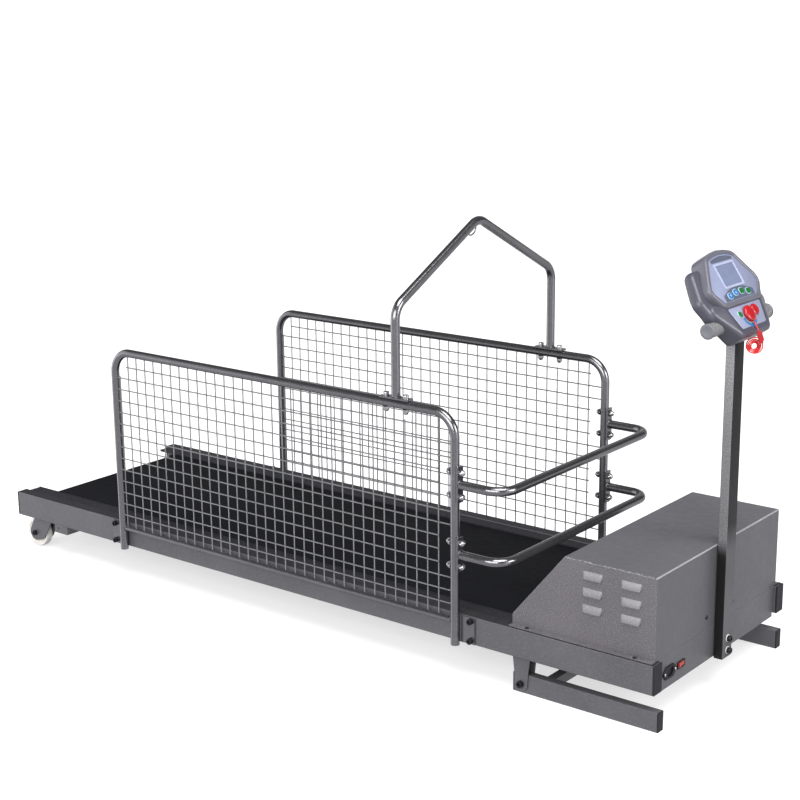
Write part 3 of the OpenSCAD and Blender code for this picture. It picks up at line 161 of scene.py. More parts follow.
def surface(name, base, rough, metal, relief, tone=(0.08, 7.0), fleck=None, dust=None, edge_wear_and_highlight=None, painted_light_by_height=None,
            spec=0.5, coat=0.0, sheen=0.0, stretch=(1, 1, 1), rough_var=0.06):
    """A procedural finish. relief is (strength, scale, depth in m, whether it is pebbled), tone the colour's
    (drift, scale), fleck (colour, scale, amount, from, to), edge_wear_and_highlight the edges' (colour,
    amount, radius in m), a paler colour on edges that is part wear and part painted highlight, and
    painted_light_by_height rows of (height, factor) up the mast, painted light and shade that follows the
    height."""
    m = bpy.data.materials.new(name)
    node = node_maker(m)
    coord = node("TexCoord", (), "Object")
    mapped = node("Mapping", {"Scale": stretch, "Vector": coord}, "Vector")

    def noise(scale, detail=3.0, ruf=0.55):
        return node("TexNoise", {"Scale": scale, "Detail": detail, "Roughness": ruf, "Vector": mapped}, "Fac")

    def mix(fac, a, b):
        a, b = (v if hasattr(v, "links") else (*v, 1) for v in (a, b))
        return node("Mix", {0: fac, 6: a, 7: b}, 2, data_type="RGBA")

    drift, drift_scale = tone
    lo, hi = [c * (1 - drift) for c in base], [min(1, c * (1 + drift)) for c in base]
    colour = mix(remap(node, noise(drift_scale), 0.35, 0.65, 0, 1), lo, hi)
    if fleck:
        pale, scale, amount, lo, hi = filled(fleck, FLECK)
        colour = mix(remap(node, noise(scale, 2.0, 0.6), lo, hi, 0, amount), colour, pale)
    if dust:
        colour = mix(remap(node, noise(38, 5.0, 0.7), 0.5, 0.8, 0, 0.35), colour, dust)
    # Edges are made paler: partly real wear, partly a painted highlight where rounded edges catch the light.
    if edge_wear_and_highlight:
        worn_and_lit, amount, radius = filled(edge_wear_and_highlight, EDGE_WEAR_AND_HIGHLIGHT)
        ins = {0: node("Bevel", {"Radius": radius}, samples=4), 1: node("NewGeometry", (), "Normal")}
        edge = remap(node, node("VectorMath", ins, "Value", operation="DOT_PRODUCT"), 0.99, 0.86, 0, amount)
        patchy = remap(node, noise(120, 4.0, 0.7), 0.35, 0.6, 0.35, 1)
        colour = mix(node("Math", {0: edge, 1: patchy}, operation="MULTIPLY"), colour, worn_and_lit)
    if painted_light_by_height:
        # The colour is multiplied by a factor that follows the height, given in mm over the rails' tops:
        # painted light and shade.
        low, high = painted_light_by_height[0][0], painted_light_by_height[-1][0]
        peak = max(f for _, f in painted_light_by_height)
        height = node("SeparateXYZ", {0: coord}, "Z")
        along = remap(node, height, (low + DECK) * MM, (high + DECK) * MM, 0, 1)
        ramp = node("ValToRGB", {"Fac": along}, None)
        stops = ramp.color_ramp.elements
        while len(stops) < len(painted_light_by_height):
            stops.new(0.5)
        for stop, (z, f) in zip(stops, painted_light_by_height):
            stop.position = (z - low) / (high - low)
            stop.color = (f / peak, f / peak, f / peak, 1)
        scaled = node("VectorMath", {0: colour, "Scale": peak}, operation="SCALE")
        colour = node("VectorMath", {0: scaled, 1: ramp.outputs["Color"]}, operation="MULTIPLY")
    ins = {"Base Color": colour, "Metallic": metal, "Specular IOR Level": spec, "Coat Weight": coat,
           "Coat Roughness": 0.12, "Sheen Weight": sheen,
           "Roughness": remap(node, noise(drift_scale * 9, 4.0), 0.3, 0.7, max(0.02, rough - rough_var),
                              min(1, rough + rough_var))}
    if relief:
        strength, scale, depth, pebbled = filled(relief, RELIEF)
        if pebbled:
            cells = {"Scale": scale, "Smoothness": 0.6, "Vector": mapped}
            height = node("TexVoronoi", cells, "Distance", feature="SMOOTH_F1")
        else:
            height = noise(scale, 2.0, 0.5)
        ins["Normal"] = node("Bump", {"Strength": strength, "Distance": depth, "Height": height})
    node("OutputMaterial", {0: node("BsdfPrincipled", ins)}, None)
    m.diffuse_color = (*base, 1)
    return m


# Powder coats: a grey with paler flecks and a pebbled skin. The rails' tops, the hood's top, front and bends,
# the louvres and the mast have lighter or darker copies as painted light and shade.
PEBBLES, FINE_PEBBLES = (0.35, 520, 0.0003, True), (0.3, 520, 0.0002, True)
PALE_FLECK = (0.42, 0.42, 0.43)
paint = surface("silver_vein_paint", (0.092, 0.089, 0.097), 0.4, 0.25, PEBBLES,
    fleck=((0.21, 0.205, 0.215), 420, 0.42, 0.52), edge_wear_and_highlight=(PALE_FLECK, 0.5))
hood_paint = surface("hood_paint", (0.104, 0.098, 0.105), 0.42, 0.2, (0.35, 480, 0.0003, True),
    fleck=((0.33, 0.315, 0.325), 420, 0.42, 0.5, 0.7))
# The hood's top and front: a darker copy of its paint with fewer flecks, as painted shade.
hood_top_front_shade = surface("hood_top_front_painted_shade", (0.094, 0.094, 0.104), 0.38, 0.25, (0.06, 240), (0.05, 7.0),
    fleck=((0.14, 0.14, 0.152), 650, 0.3))
tube_paint = surface("tube_paint", (0.19, 0.188, 0.198), 0.2, 0.9, (0.3, 430, 0.0003, True),
    fleck=(PALE_FLECK, 380, 0.45), rough_var=0.04)
# The louvres: a lighter copy of the hood paint, as painted light.
louvre_painted_light = surface("louvre_painted_light", (0.19, 0.185, 0.195), 0.45, 0.2, FINE_PEBBLES,
    fleck=((0.36, 0.35, 0.37), 420, 0.6))
# The rails' tops: a darker copy of the paint, as painted shade.
rail_top_shade = surface("rail_top_painted_shade", (0.02, 0.0195, 0.022), 0.5, 0, PEBBLES,
    fleck=((0.07, 0.068, 0.073), 420, 0.45), spec=0.16)
# The mast's sides take a lighter copy of its paint and its front a darker one, as painted light and shade.
# Both change with height: the sides are dark below the hood's top and lighter towards the top, and the front
# is darker above the hood's top, as painted light and shade.
mast_side_painted_light_and_shade = surface("mast_side_painted_light_and_shade", (0.17, 0.167, 0.175), 0.42, 0.1, PEBBLES,
    fleck=(PALE_FLECK, 400, 0.6, 0.5, 0.66),
    painted_light_by_height=((-MAST_DROP, 0.05), (HOOD_H - 22, 0.05), (HOOD_H + 12, 0.7), (400, 0.8), (CROSS_H, 1.5)),
    spec=0.25)
mast_front_shade = surface("mast_front_painted_shade", (0.1, 0.099, 0.105), 0.55, 0, (0.3, 520, 0.0003, True),
    fleck=((0.19, 0.19, 0.2), 420, 0.4),
    painted_light_by_height=((-MAST_DROP, 1.0), (HOOD_H - 10, 1.0), (HOOD_H + 40, 0.3), (400, 0.2), (CROSS_H, 0.26)),
    spec=0.08)
cross_paint = surface("cross_tube_paint", (0.2, 0.197, 0.205), 0.36, 0.35, PEBBLES,
    fleck=((0.5, 0.5, 0.51), 400, 0.6, 0.5, 0.66))
# The hood's top front bend: a pale metallic stripe as painted highlight.
hood_edge_painted_highlight = surface("hood_edge_painted_highlight", (0.5, 0.5, 0.51), 0.3, 0.6, FINE_PEBBLES)
# The hood's sides' top bends: dark paint with heavy pale flecks, as painted speckled highlight.
hood_bend_highlight = surface("hood_bend_painted_highlight", (0.1, 0.096, 0.105), 0.35, 0.4, FINE_PEBBLES,
    fleck=(PALE_FLECK, 460, 0.8, 0.5, 0.6))

# Bare and plated metal.
washer = surface("bright_washer", (0.72, 0.72, 0.73), 0.3, 0.3, (0.1, 1400))
weld = surface("weld_bead", (0.09, 0.088, 0.094), 0.32, 0.6, (0.6, 700, 0.0004))
wire = surface("mesh_wire", (0.3, 0.3, 0.31), 0.3, 0.8, (0.25, 900), fleck=((0.55, 0.55, 0.56), 500))
bolt_black = surface("black_oxide", (0.016, 0.016, 0.018), 0.33, 0.6, (0.2, 1500),
    edge_wear_and_highlight=((0.18, 0.18, 0.18), 0.5, 0.0005))
zinc = surface("bright_zinc", (0.42, 0.42, 0.43), 0.2, 0.95, (0.15, 1400), fleck=((0.3, 0.3, 0.3), 700))
steel = surface("turned_steel", (0.42, 0.42, 0.43), 0.3, 0.9, (0.25, 1600), stretch=(1, 0.1, 1))
castal = surface("cast_pulley", (0.2, 0.2, 0.21), 0.45, 0.7, (0.4, 800))
motor_grey = surface("motor_enamel", (0.055, 0.056, 0.06), 0.42, 0.2, (0.3, 700),
    edge_wear_and_highlight=((0.3, 0.3, 0.3), 0.4))

# Belt, board and dark plastics.
belt_top = surface("belt_rubber", (0.0062, 0.0064, 0.0078), 0.75, 0, (0.35, 1500, 0.0003), (0.12, 5),
    fleck=((0.012, 0.012, 0.0145), 900), dust=(0.0095, 0.0095, 0.011), spec=0.06)
belt_edge = surface("belt_edge", (0.3, 0.3, 0.31), 0.7, 0, (0.4, 1400), fleck=((0.1, 0.1, 0.1), 600))
belt_back = surface("belt_weave", (0.05, 0.05, 0.052), 0.75, 0, (0.5, 1300, 0.0002, True))
strip_black = surface("foot_strip", (0.016, 0.016, 0.019), 0.5, 0, (0.3, 1100), dust=(0.03, 0.03, 0.034),
    edge_wear_and_highlight=((0.07, 0.07, 0.075), 0.35), spec=0.2)
black = surface("black_plastic", (0.008, 0.008, 0.0095), 0.42, 0, (0.25, 1300),
    edge_wear_and_highlight=((0.035, 0.035, 0.04), 0.5, 0.0006), spec=0.18)
cap_black = surface("end_cap_plastic", (0.02, 0.02, 0.024), 0.5, 0, (0.3, 1200),
    edge_wear_and_highlight=((0.05, 0.05, 0.055), 0.4), spec=0.12)
board_green = surface("circuit_board", (0.03, 0.11, 0.055), 0.4, 0, (0.3, 2500),
    fleck=((0.3, 0.32, 0.28), 420, 0.35))
board = surface("deck_board", (0.06, 0.056, 0.054), 0.6, 0, (0.3, 900), stretch=(0.15, 1, 1))
nylon = surface("wheel_nylon", (0.74, 0.71, 0.67), 0.45, 0, (0.2, 900), (0.06, 30),
    dust=(0.42, 0.39, 0.36), edge_wear_and_highlight=((0.86, 0.85, 0.83), 0.4))

# Console: mouldings, films, display, buttons and the red parts.
FILM_TONE, FILM_RELIEF, PRINT_RELIEF = (0.05, 16), (0.12, 2200, 0.00008), (0.15, 1800)
shell = surface("console_shell", (0.06, 0.059, 0.079), 0.36, 0, (0.3, 1800, 0.00012), (0.07, 12),
    edge_wear_and_highlight=((0.13, 0.13, 0.16), 0.3), coat=0.12)
pod_shell = surface("pod_shell", (0.105, 0.105, 0.13), 0.32, 0, (0.25, 1800, 0.00012), (0.06, 12),
    edge_wear_and_highlight=((0.2, 0.2, 0.25), 0.35), coat=0.15)
cap_grey = surface("cap_grey", (0.13, 0.13, 0.15), 0.42, 0, (0.3, 900), edge_wear_and_highlight=((0.25, 0.25, 0.27),))
silver = surface("silver_film", (0.24, 0.265, 0.385), 0.36, 0.2, FILM_RELIEF, FILM_TONE,
    fleck=((0.33, 0.36, 0.49), 1200, 0.4))
silver_low = surface("silver_film_low", (0.27, 0.29, 0.41), 0.34, 0.25, FILM_RELIEF, FILM_TONE,
    fleck=((0.36, 0.38, 0.5), 1200, 0.4))
film_grey = surface("film_grey", (0.085, 0.095, 0.135), 0.4, 0.1, FILM_RELIEF, FILM_TONE)
lcd_rim = surface("lcd_rim", (0.36, 0.39, 0.54), 0.3, 0.1, (0.1, 2000, 0.00008))
lcd = surface("lcd_glass", (0.15, 0.175, 0.265), 0.2, 0, (0.06, 2600, 0.00005), (0.1, 22), coat=0.3,
    rough_var=0.03)
blue = surface("button_blue", (0.018, 0.14, 0.35), 0.35, 0, (0.2, 1800), (0.07, 60), coat=0.15)
green = surface("button_green", (0.006, 0.12, 0.025), 0.35, 0, (0.2, 1800), (0.09, 60), coat=0.2)
white = surface("print_white", (0.34, 0.45, 0.55), 0.4, 0, PRINT_RELIEF, (0.04, 60))
yellow = surface("print_yellow", (0.75, 0.6, 0.05), 0.4, 0, PRINT_RELIEF, (0.04, 60))
red = surface("red_plastic", (0.36, 0.01, 0.014), 0.24, 0, (0.1, 1600), (0.08, 40),
    edge_wear_and_highlight=((0.52, 0.12, 0.12), 0.3, 0.0006), coat=0.25)
red_dark = surface("red_clip", (0.34, 0.005, 0.01), 0.3, 0, (0.15, 1600), (0.08, 40),
    edge_wear_and_highlight=((0.5, 0.12, 0.12), 0.3, 0.0006), coat=0.2)
red_cord = surface("red_cord", (0.62, 0.006, 0.005), 0.4, 0, (0.5, 2600, 0.0002, True), (0.12, 90),
    coat=0.1, sheen=0.15)
rocker_red = surface("rocker_red", (0.36, 0.025, 0.018), 0.35, 0, (0.15, 2000), (0.07, 90),
    edge_wear_and_highlight=((0.5, 0.12, 0.1), 0.25, 0.0005), spec=0.3, coat=0.15)


# Mesh building.

def turns(n, start=0.0):
    """n angles evenly round a circle."""
    return [2 * pi * (k + start) / n for k in range(n)]


def polar(r, t, z=0.0):
    return (r * cos(t), r * sin(t), z)


def frame_of(origin, z):
    """Matrix whose Z axis is z, at origin."""
    z = Vector(z).normalized()
    x = Vector((1, 0, 0)) if abs(z.x) < 0.9 else Vector((0, 1, 0))
    x = (x - z * x.dot(z)).normalized()
    return axes(x, z.cross(x), z, origin)


def bent(points, bend, step=4.0):
    """The points' line with its corners turned to arcs of radius bend."""
    p = [Vector(q) for q in points]
    line = [p[0]]
    for i in range(1, len(p) - 1):
        u, v = (p[i] - p[i - 1]).normalized(), (p[i + 1] - p[i]).normalized()
        a = acos(max(-1, min(1, u.dot(v))))
        inward = (v - u * cos(a)).normalized()
        c = p[i] - bend * tan(a / 2) * u + bend * inward
        n = max(2, round(degrees(a) / step))
        line += [c + bend * (sin(a * k / n) * u - cos(a * k / n) * inward) for k in range(n + 1)]
    return line + [p[-1]]


def support(circles, n=96, grow=0.0):
    """Outline of the hull of circles (x, y, r), as n points with even normals."""
    pts = []
    for t in turns(n, 0.5):
        dx, dy = cos(t), sin(t)
        x, y, r = max(circles, key=lambda c: c[0] * dx + c[1] * dy + c[2])
        r = max(0.2, r + grow)
        pts.append((x + r * dx, y + r * dy))
    return pts


def both(*rows):
    """Each row at both sides of the middle: its second number is taken with both signs."""
    return [(b, s * a, *rest) for b, a, *rest in rows for s in (-1, 1)]


def rounded(w, h, r, n=48):
    """Outline of a rectangle whose corners are arcs of radius r about (w, h)."""
    return support(both((-w, h, r), (w, h, r)), n)


def lift(pts, z, g=1.0):
    return [(x * g, y * g, z) for x, y in pts]


def hexagon(r, most=1e9):
    """Distance to a hexagon's sides by angle, its corners at r and cut off at most."""
    return lambda t: min(most, r * cos(pi / 6) / cos(t % (pi / 3) - pi / 6))


def grid(rows, cols):
    """The faces of a sheet of rows by cols quads."""
    n = cols + 1
    return [(a * n + b, a * n + b + 1, (a + 1) * n + b + 1, (a + 1) * n + b)
            for a in range(rows) for b in range(cols)]


def mend(me, merge=0.0):
    """Joins vertices that meet, if asked, and turns the faces outward."""
    bm = bmesh.new()
    bm.from_mesh(me)
    if merge:
        bmesh.ops.remove_doubles(bm, verts=bm.verts, dist=merge)
    bmesh.ops.recalc_face_normals(bm, faces=bm.faces)
    bm.to_mesh(me)
    bm.free()


class Piece:
    """One visible piece, its geometry in the source's millimetres until it is made."""

    def __init__(self, *mats):
        self.mats, self.v, self.f, self.m = mats, [], [], []

    def put(self, verts, faces, m=0, mx=None):
        o = len(self.v)
        self.v += [tuple((mx @ Vector(p)) if mx else p) for p in verts]
        self.f += [tuple(o + i for i in f) for f in faces]
        self.m += [m] * len(faces)

    def box(self, x0, x1, y0, y1, z0, z1, m=0, mx=None):
        v = [(x, y, z) for x in sorted((x0, x1)) for y in sorted((y0, y1)) for z in (z0, z1)]
        f = [(0, 1, 3, 2), (4, 6, 7, 5), (0, 4, 5, 1), (2, 3, 7, 6), (0, 2, 6, 4), (1, 5, 7, 3)]
        self.put(v, f, m, mx)

    def rings(self, rings, m=0, mx=None, caps=(True, True), closed=False):
        """Skins a row of rings of equal counts."""
        n, rows = len(rings[0]), len(rings)
        f = []
        for i in range(rows if closed else rows - 1):
            j = (i + 1) % rows
            f += [(i * n + k, i * n + (k + 1) % n, j * n + (k + 1) % n, j * n + k) for k in range(n)]
        if caps[0] and not closed:
            f.append(tuple(reversed(range(n))))
        if caps[1] and not closed:
            f.append(tuple(range((rows - 1) * n, rows * n)))
        self.put([p for r in rings for p in r], f, m, mx)

    def loft(self, mx, stages, n=32, m=0):
        """Rings about Z: stages are (z, radius or function of angle)."""
        self.rings([[polar(r(t) if callable(r) else r, t, z) for t in turns(n)] for z, r in stages], m, mx)

    def tube(self, line, r, n=24, m=0, closed=False, bore=None, lumps=0.0):
        """A round bar along line. bore = (radius, depth) opens its two ends."""
        p = [Vector(q) for q in line]
        last = len(p) - 1
        tang = []
        for i in range(last + 1):
            a, b = (p[i - 1], p[(i + 1) % len(p)]) if closed else (p[max(i - 1, 0)], p[min(i + 1, last)])
            tang.append((b - a).normalized())
        side = tang[0].orthogonal().normalized()
        rings = []
        for i, t in enumerate(tang):
            side = (side - t * side.dot(t)).normalized()
            q = t.cross(side)
            rr = r * (1 + lumps * sin(i * 2.1) * cos(i * 0.83))
            rings.append([p[i] + rr * (cos(a) * side + sin(a) * q) for a in turns(n)])
        if bore:
            rims = [[p[i] + (x - p[i]) * (bore[0] / r) for x in rings[i]] for i in (0, -1)]
            deep = [[x + t * bore[1] for x in rim] for rim, t in zip(rims, (tang[0], -tang[-1]))]
            rings = [deep[0], rims[0], *rings, rims[1], deep[1]]
        self.rings(rings, m, closed=closed)

    def cyl(self, a, b, r, n=32, m=0, edge=0.0):
        d = Vector(b) - Vector(a)
        end = [(0, r - edge), (edge * 0.3, r - edge * 0.3), (edge, r)] if edge else [(0, r)]
        self.loft(frame_of(a, d), end + [(d.length - z, q) for z, q in reversed(end)], n, m)

    def bead(self, centre, axis, radius, r):
        """A ring of weld metal."""
        mx = frame_of(centre, axis)
        self.tube([mx @ Vector(polar(radius, t)) for t in turns(36)], r, 8, 1, closed=True, lumps=0.25)

    def socket_head(self, mx, r, washer=None):
        """A socket head screw's head on its seat."""
        z = 0.0
        if washer is not None:
            z, w = 1.5, r * 2
            self.loft(mx, [(0, r), (0, w - 0.3), (0.3, w), (1.2, w), (z, w - 0.3), (z, r)], 32, washer)
        top, w, key = z + r * 1.9, r * 1.6, hexagon(r * 0.84)
        self.loft(mx, [(z, w - 0.2), (z + 0.3, w), (top - 1.0, w), (top - 0.3, w - 0.3), (top, w - 1.0),
                       (top, hexagon(r * 0.95)), (top - 0.5, key), (top - r, key), (top - r - 0.8, 0.3)], 36)

    def dome_nut(self, mx, r):
        c = r * 1.85
        self.loft(mx, [(0, hexagon(c, c * 0.93)), (0.5, hexagon(c)), (r * 1.1, hexagon(c)),
                       (r * 1.3, hexagon(c, c * 0.9)), (r * 1.34, r * 1.48)]
                  + [(r * 1.3 + r * 1.5 * sin(radians(d)), r * 1.5 * cos(radians(d)))
                     for d in (12, 28, 44, 60, 74, 84)], 36)

    def hex_nut(self, mx, r, h):
        self.loft(mx, [(0, hexagon(r)), (h - 0.8, hexagon(r)), (h, hexagon(r, r * 0.9))], 36)

    def pan_head(self, mx, r, m=0):
        """A pan head screw, with a flat cross in the second material on its top as painted shade for its
        recess.
        """
        stages = [(0, 1), (0.25, 1), (0.5, 0.88), (0.66, 0.6), (0.7, 0.3)]
        self.loft(mx, [(r * z, r * q) for z, q in stages], 28, m)
        # The black cross is painted shade for the recess.
        for a in (0, pi / 2):
            self.box(-r * 0.55, r * 0.55, -r * 0.14, r * 0.14, r * 0.62, r * 0.72, 1,
                     mx @ Matrix.Rotation(a, 4, "Z"))

    def within(self, half):
        """Presses the piece flat where it reaches past half on either side of the middle."""
        self.v = [(x, max(-half, min(half, y)), z) for x, y, z in self.v]

    def make(self, name, *rest, **more):
        me = bpy.data.meshes.new(name)
        me.from_pydata([at(*p) for p in self.v], [], self.f)
        for mat in self.mats:
            me.materials.append(mat)
        me.polygons.foreach_set("material_index", self.m)
        me.validate()
        mend(me)
        return settle(me, name, *rest, **more)


def settle(me, name, slot, replaces=None, bevel=0.0, angle=40.0, segs=2, body="frame"):
    """Shades a mesh, rounds its edges, and lets it ride on its body."""
    me.polygons.foreach_set("use_smooth", [True] * len(me.polygons))
    me.set_sharp_from_angle(angle=radians(angle))
    o = link(name, me)
    if bevel:
        b = o.modifiers.new("edges", "BEVEL")
        b.width, b.segments, b.limit_method, b.angle_limit = bevel * MM, segs, "ANGLE", radians(angle)
        b.harden_normals = b.use_clamp_overlap = True
    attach(o, body)
    if replaces:
        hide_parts(replaces)
    return o


def refined(node, name, mat, slot, bevel, segs=2, body="frame"):
    """A piece made from a node's own shape: flat faces joined, round ones shaded smooth, edges rounded."""
    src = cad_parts[node].data
    bm = bmesh.new()
    verts = [bm.verts.new(p.co) for p in src.vertices]
    for p in src.polygons:
        try:
            bm.faces.new([verts[i] for i in p.vertices])
        except ValueError:
            pass
    bmesh.ops.remove_doubles(bm, verts=bm.verts, dist=2e-6)
    bmesh.ops.dissolve_limit(bm, angle_limit=radians(0.5), verts=bm.verts, edges=bm.edges)
    me = bpy.data.meshes.new(name)
    bm.to_mesh(me)
    bm.free()
    me.materials.append(mat)
    return settle(me, name, slot, node, bevel, 30, segs, body)


# The lanyard: from the key's edge down the panel, then round in two layers of turns, to the clip.

CORD_D = 2.4
EXIT_B, EXIT_N = KEY_B + KEY_R, KEY_N + 3.5
exit_pt = Vector((FACE_X + EXIT_B * sin(LEAN) + EXIT_N * cos(LEAN), KEY_A,
                  FACE_Z - EXIT_B * cos(LEAN) + EXIT_N * sin(LEAN)))
line = [exit_pt + Vector(p) for p in (
    (0, 0, 0), (2.2, 0, -3.3), (4.4, 0, -6.6), (6.6, 0, -9.8), (8.7, 0, -13.2), (10.3, 0, -17),
    (11.3, 0, -21), (11.7, 0, -24.5), (11.5, -0.2, -27.3), (10.6, -0.9, -29.5), (9, -2.2, -30.4),
    (7, -3.8, -30.4))]
TURN = radians(38)
hank_h = Vector((cos(TURN), sin(TURN), 0))
hank_m = Vector((sin(TURN), -cos(TURN), 0))
STEP, TURNS_IN, TURNS, HANK_POINTS = CORD_D + 0.9, 2.75, 5.8, 138
HANK_R = 15.5
HANK_IN = HANK_R - TURNS_IN * STEP


def ease(t, a, b):
    return 0.0 if t < a else 1.0 if t > b else (1 - cos(pi * (t - a) / (b - a))) / 2


hank_c = line[-1] - CORD_D * hank_h - Vector((0, 0, HANK_R))
for i in range(HANK_POINTS + 1):
    t = TURNS * i / HANK_POINTS
    a = radians(90 + 360 * t)
    rad = HANK_IN + STEP * (TURNS_IN - t if t < TURNS_IN else max(0, t - TURNS_IN - 0.5))
    off = STEP * ease(t, TURNS_IN, TURNS_IN + 0.5) + 5.5 * ease(t, TURNS - 0.4, TURNS)
    line.append(hank_c + rad * (cos(a) * hank_h + Vector((0, 0, sin(a)))) + off * hank_m)
hank_lean = 2 * pi * (TURNS - 5.75)
line.append(line[-1] + CORD_D * (Vector((0, 0, cos(hank_lean))) - sin(hank_lean) * hank_h))
curve = bpy.data.curves.new("lanyard_cord", "CURVE")
curve.dimensions = "3D"
spline = curve.splines.new("POLY")
spline.points.add(len(line) - 1)
for q, p in zip(spline.points, line):
    q.co = (*at(*p), 1)
curve.bevel_depth = CORD_D / 2 * MM
curve.bevel_resolution = 4
curve.use_fill_caps = True
curve.materials.append(red_cord)
cord = link("lanyard_cord", curve)
cord_length = sum((b - a).length for a, b in zip(line, line[1:])) * MM
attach(cord, "key")
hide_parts("lanyard_run", "lanyard_hank")

clip = Piece(red_dark, zinc)
mx = Matrix.Translation(line[-1]) @ Matrix.Rotation(TURN, 4, "Z") @ Matrix.Rotation(-hank_lean, 4, "Y")
clip.box(-2.5, 2.5, -2.5, 2.5, 0, 4, 0, mx)
for s in (-1, 1):
    clip.box(-5, 5, s * 0.8, s * 3.2, 4, 23, 0, mx)
    for k in range(4):
        clip.box(-4, 4, s * 2.85, s * 3.56, 14.2 + 2 * k, 15.1 + 2 * k, 0, mx)
clip.cyl(mx @ Vector((-4.6, 0, 9)), mx @ Vector((4.6, 0, 9)), 1.7, 20, 1, 0.3)
clip_o = clip.make("lanyard_clip_jaws", "red_plastic", "lanyard_clip", 0.5, 34, body="key")


# Rails, deck and belt.

for side, s in SIDES:
    p = Piece(paint, rail_top_shade)
    p.box(0, RAIL_L, s * RAIL_IN, s * HALF_W, -RAIL_H, 0)
    p.box(REAR_AXIS + 40, FRONT_AXIS - 40, s * (RAIL_IN - 14), s * (RAIL_IN - 0.01), BOARD_TOP - 21,
          BOARD_TOP - 18)
    rail = p.make(f"{side}_rail", "rail_grey", f"rail_{side}", 2.2, 34, 3)
    # The top faces take the darker copy: painted shade.
    for q in rail.data.polygons:
        q.material_index = 1 if q.normal.z > 0.9 else 0

p = Piece(cap_black)
for s in (-1, 1):
    for x in (-4, RAIL_L):
        p.box(x, x + 4, s * RAIL_IN, s * HALF_W, -RAIL_H, 0)
p.make("rail_end_caps", "black_plastic", "rail_caps", 1.4, 34, 3)

p = Piece(strip_black)
w, GROOVE = RAIL_IN - GAP - STRIP_Y0, -2.2
prof = [(0, BOARD_TOP), (0, -0.4), (0.4, 0), (1.6, 0), (2, -0.4), (2, GROOVE)]
for i in range(5):
    a = 4 + (w - 4) / 5 * i
    b = a + (w - 4) / 5 * 0.55
    prof += [(a - 0.1, GROOVE), (a + 0.2, -1.3), (a + 0.8, -0.85), (b - 0.8, -0.85), (b - 0.2, -1.3),
             (b + 0.1, GROOVE)]
prof += [(w, GROOVE), (w, BOARD_TOP)]
for s in (-1, 1):
    p.rings([[(x, s * (STRIP_Y0 + y), z) for y, z in prof] for x in (8, FRONT_AXIS - 30)])
p.make("ribbed_foot_strips", "strip_black", "foot_strips", angle=50)


def loop(r):
    """The belt's path at a distance r from the rollers' axes, as (x, z)."""
    pts = []
    for x0, x1, s in ((REAR_AXIS, FRONT_AXIS, 1), (FRONT_AXIS, REAR_AXIS, -1)):
        pts += [(x0 + r * cos(t), AXIS_Z + r * sin(t)) for t in (s * pi / 2 + pi * k / 40 for k in range(41))]
        pts += [(x0 + (x1 - x0) * k / 25, AXIS_Z - s * r) for k in range(1, 25)]
    return pts


# The belt's section as (radius, y, material up to the next corner).
p = Piece(belt_top, belt_edge, belt_back)
h, top = BELT_W / 2, ROLL_IN + BELT_T
section = [(top, 0.5 - h, 0), (top, h - 0.5, 1), (top - 0.4, h, 1), (ROLL_IN + 0.3, h, 1),
           (ROLL_IN, h - 0.4, 2), (ROLL_IN, 0.4 - h, 1), (ROLL_IN + 0.3, -h, 1), (top - 0.4, -h, 1)]
lines = [[(x, y, z) for x, z in loop(r)] for r, y, _ in section]
for a, b, (_, _, m) in zip(lines, lines[1:] + lines[:1], section):
    p.rings([a, b], m, caps=(False, False))
belt = p.make("walking_belt", "belt_black", "running_belt", angle=50)
mend(belt.data, 1e-6)

for args in (
        ("deck_board", "deck_board_panel", board, "deck_board", 1.0),
        ("inner_cross_tubes", "deck_cross_tubes", paint, "rail_grey", 1.5),
        ("rear_cross_tube", "rear_cross_member", paint, "rail_grey", 1.5, 3),
        ("front_roller", "drive_roller", steel, "roller_steel", 0.8, 2, "front_roller"),
        ("rear_roller", "tail_roller", steel, "roller_steel", 0.8, 2, "rear_roller"),
        ("roller_shafts", "roller_axles", steel, "roller_steel", 0.6),
        ("roller_pulley", "drive_pulley", castal, "pulley_grey", 0.3, 2, "front_roller"),
        ("belt_adjusters", "belt_tensioners", zinc, "bright_bolts", 0.4),
        ("motor", "drive_motor", motor_grey, "motor_grey", 1.2),
        ("motor_rotor", "motor_shaft_fan", castal, "pulley_grey", 0.3, 2, "motor_rotor"),
        ("drive_belt", "ribbed_drive_belt", black, "belt_black", 0.3),
        ("controller", "speed_controller", board_green, "motor_grey", 0.4),
        ("tray", "motor_tray", paint, "hood_grey", 0.5)):
    refined(*args)


# Hood, with its louvres, screws and front plate fittings.

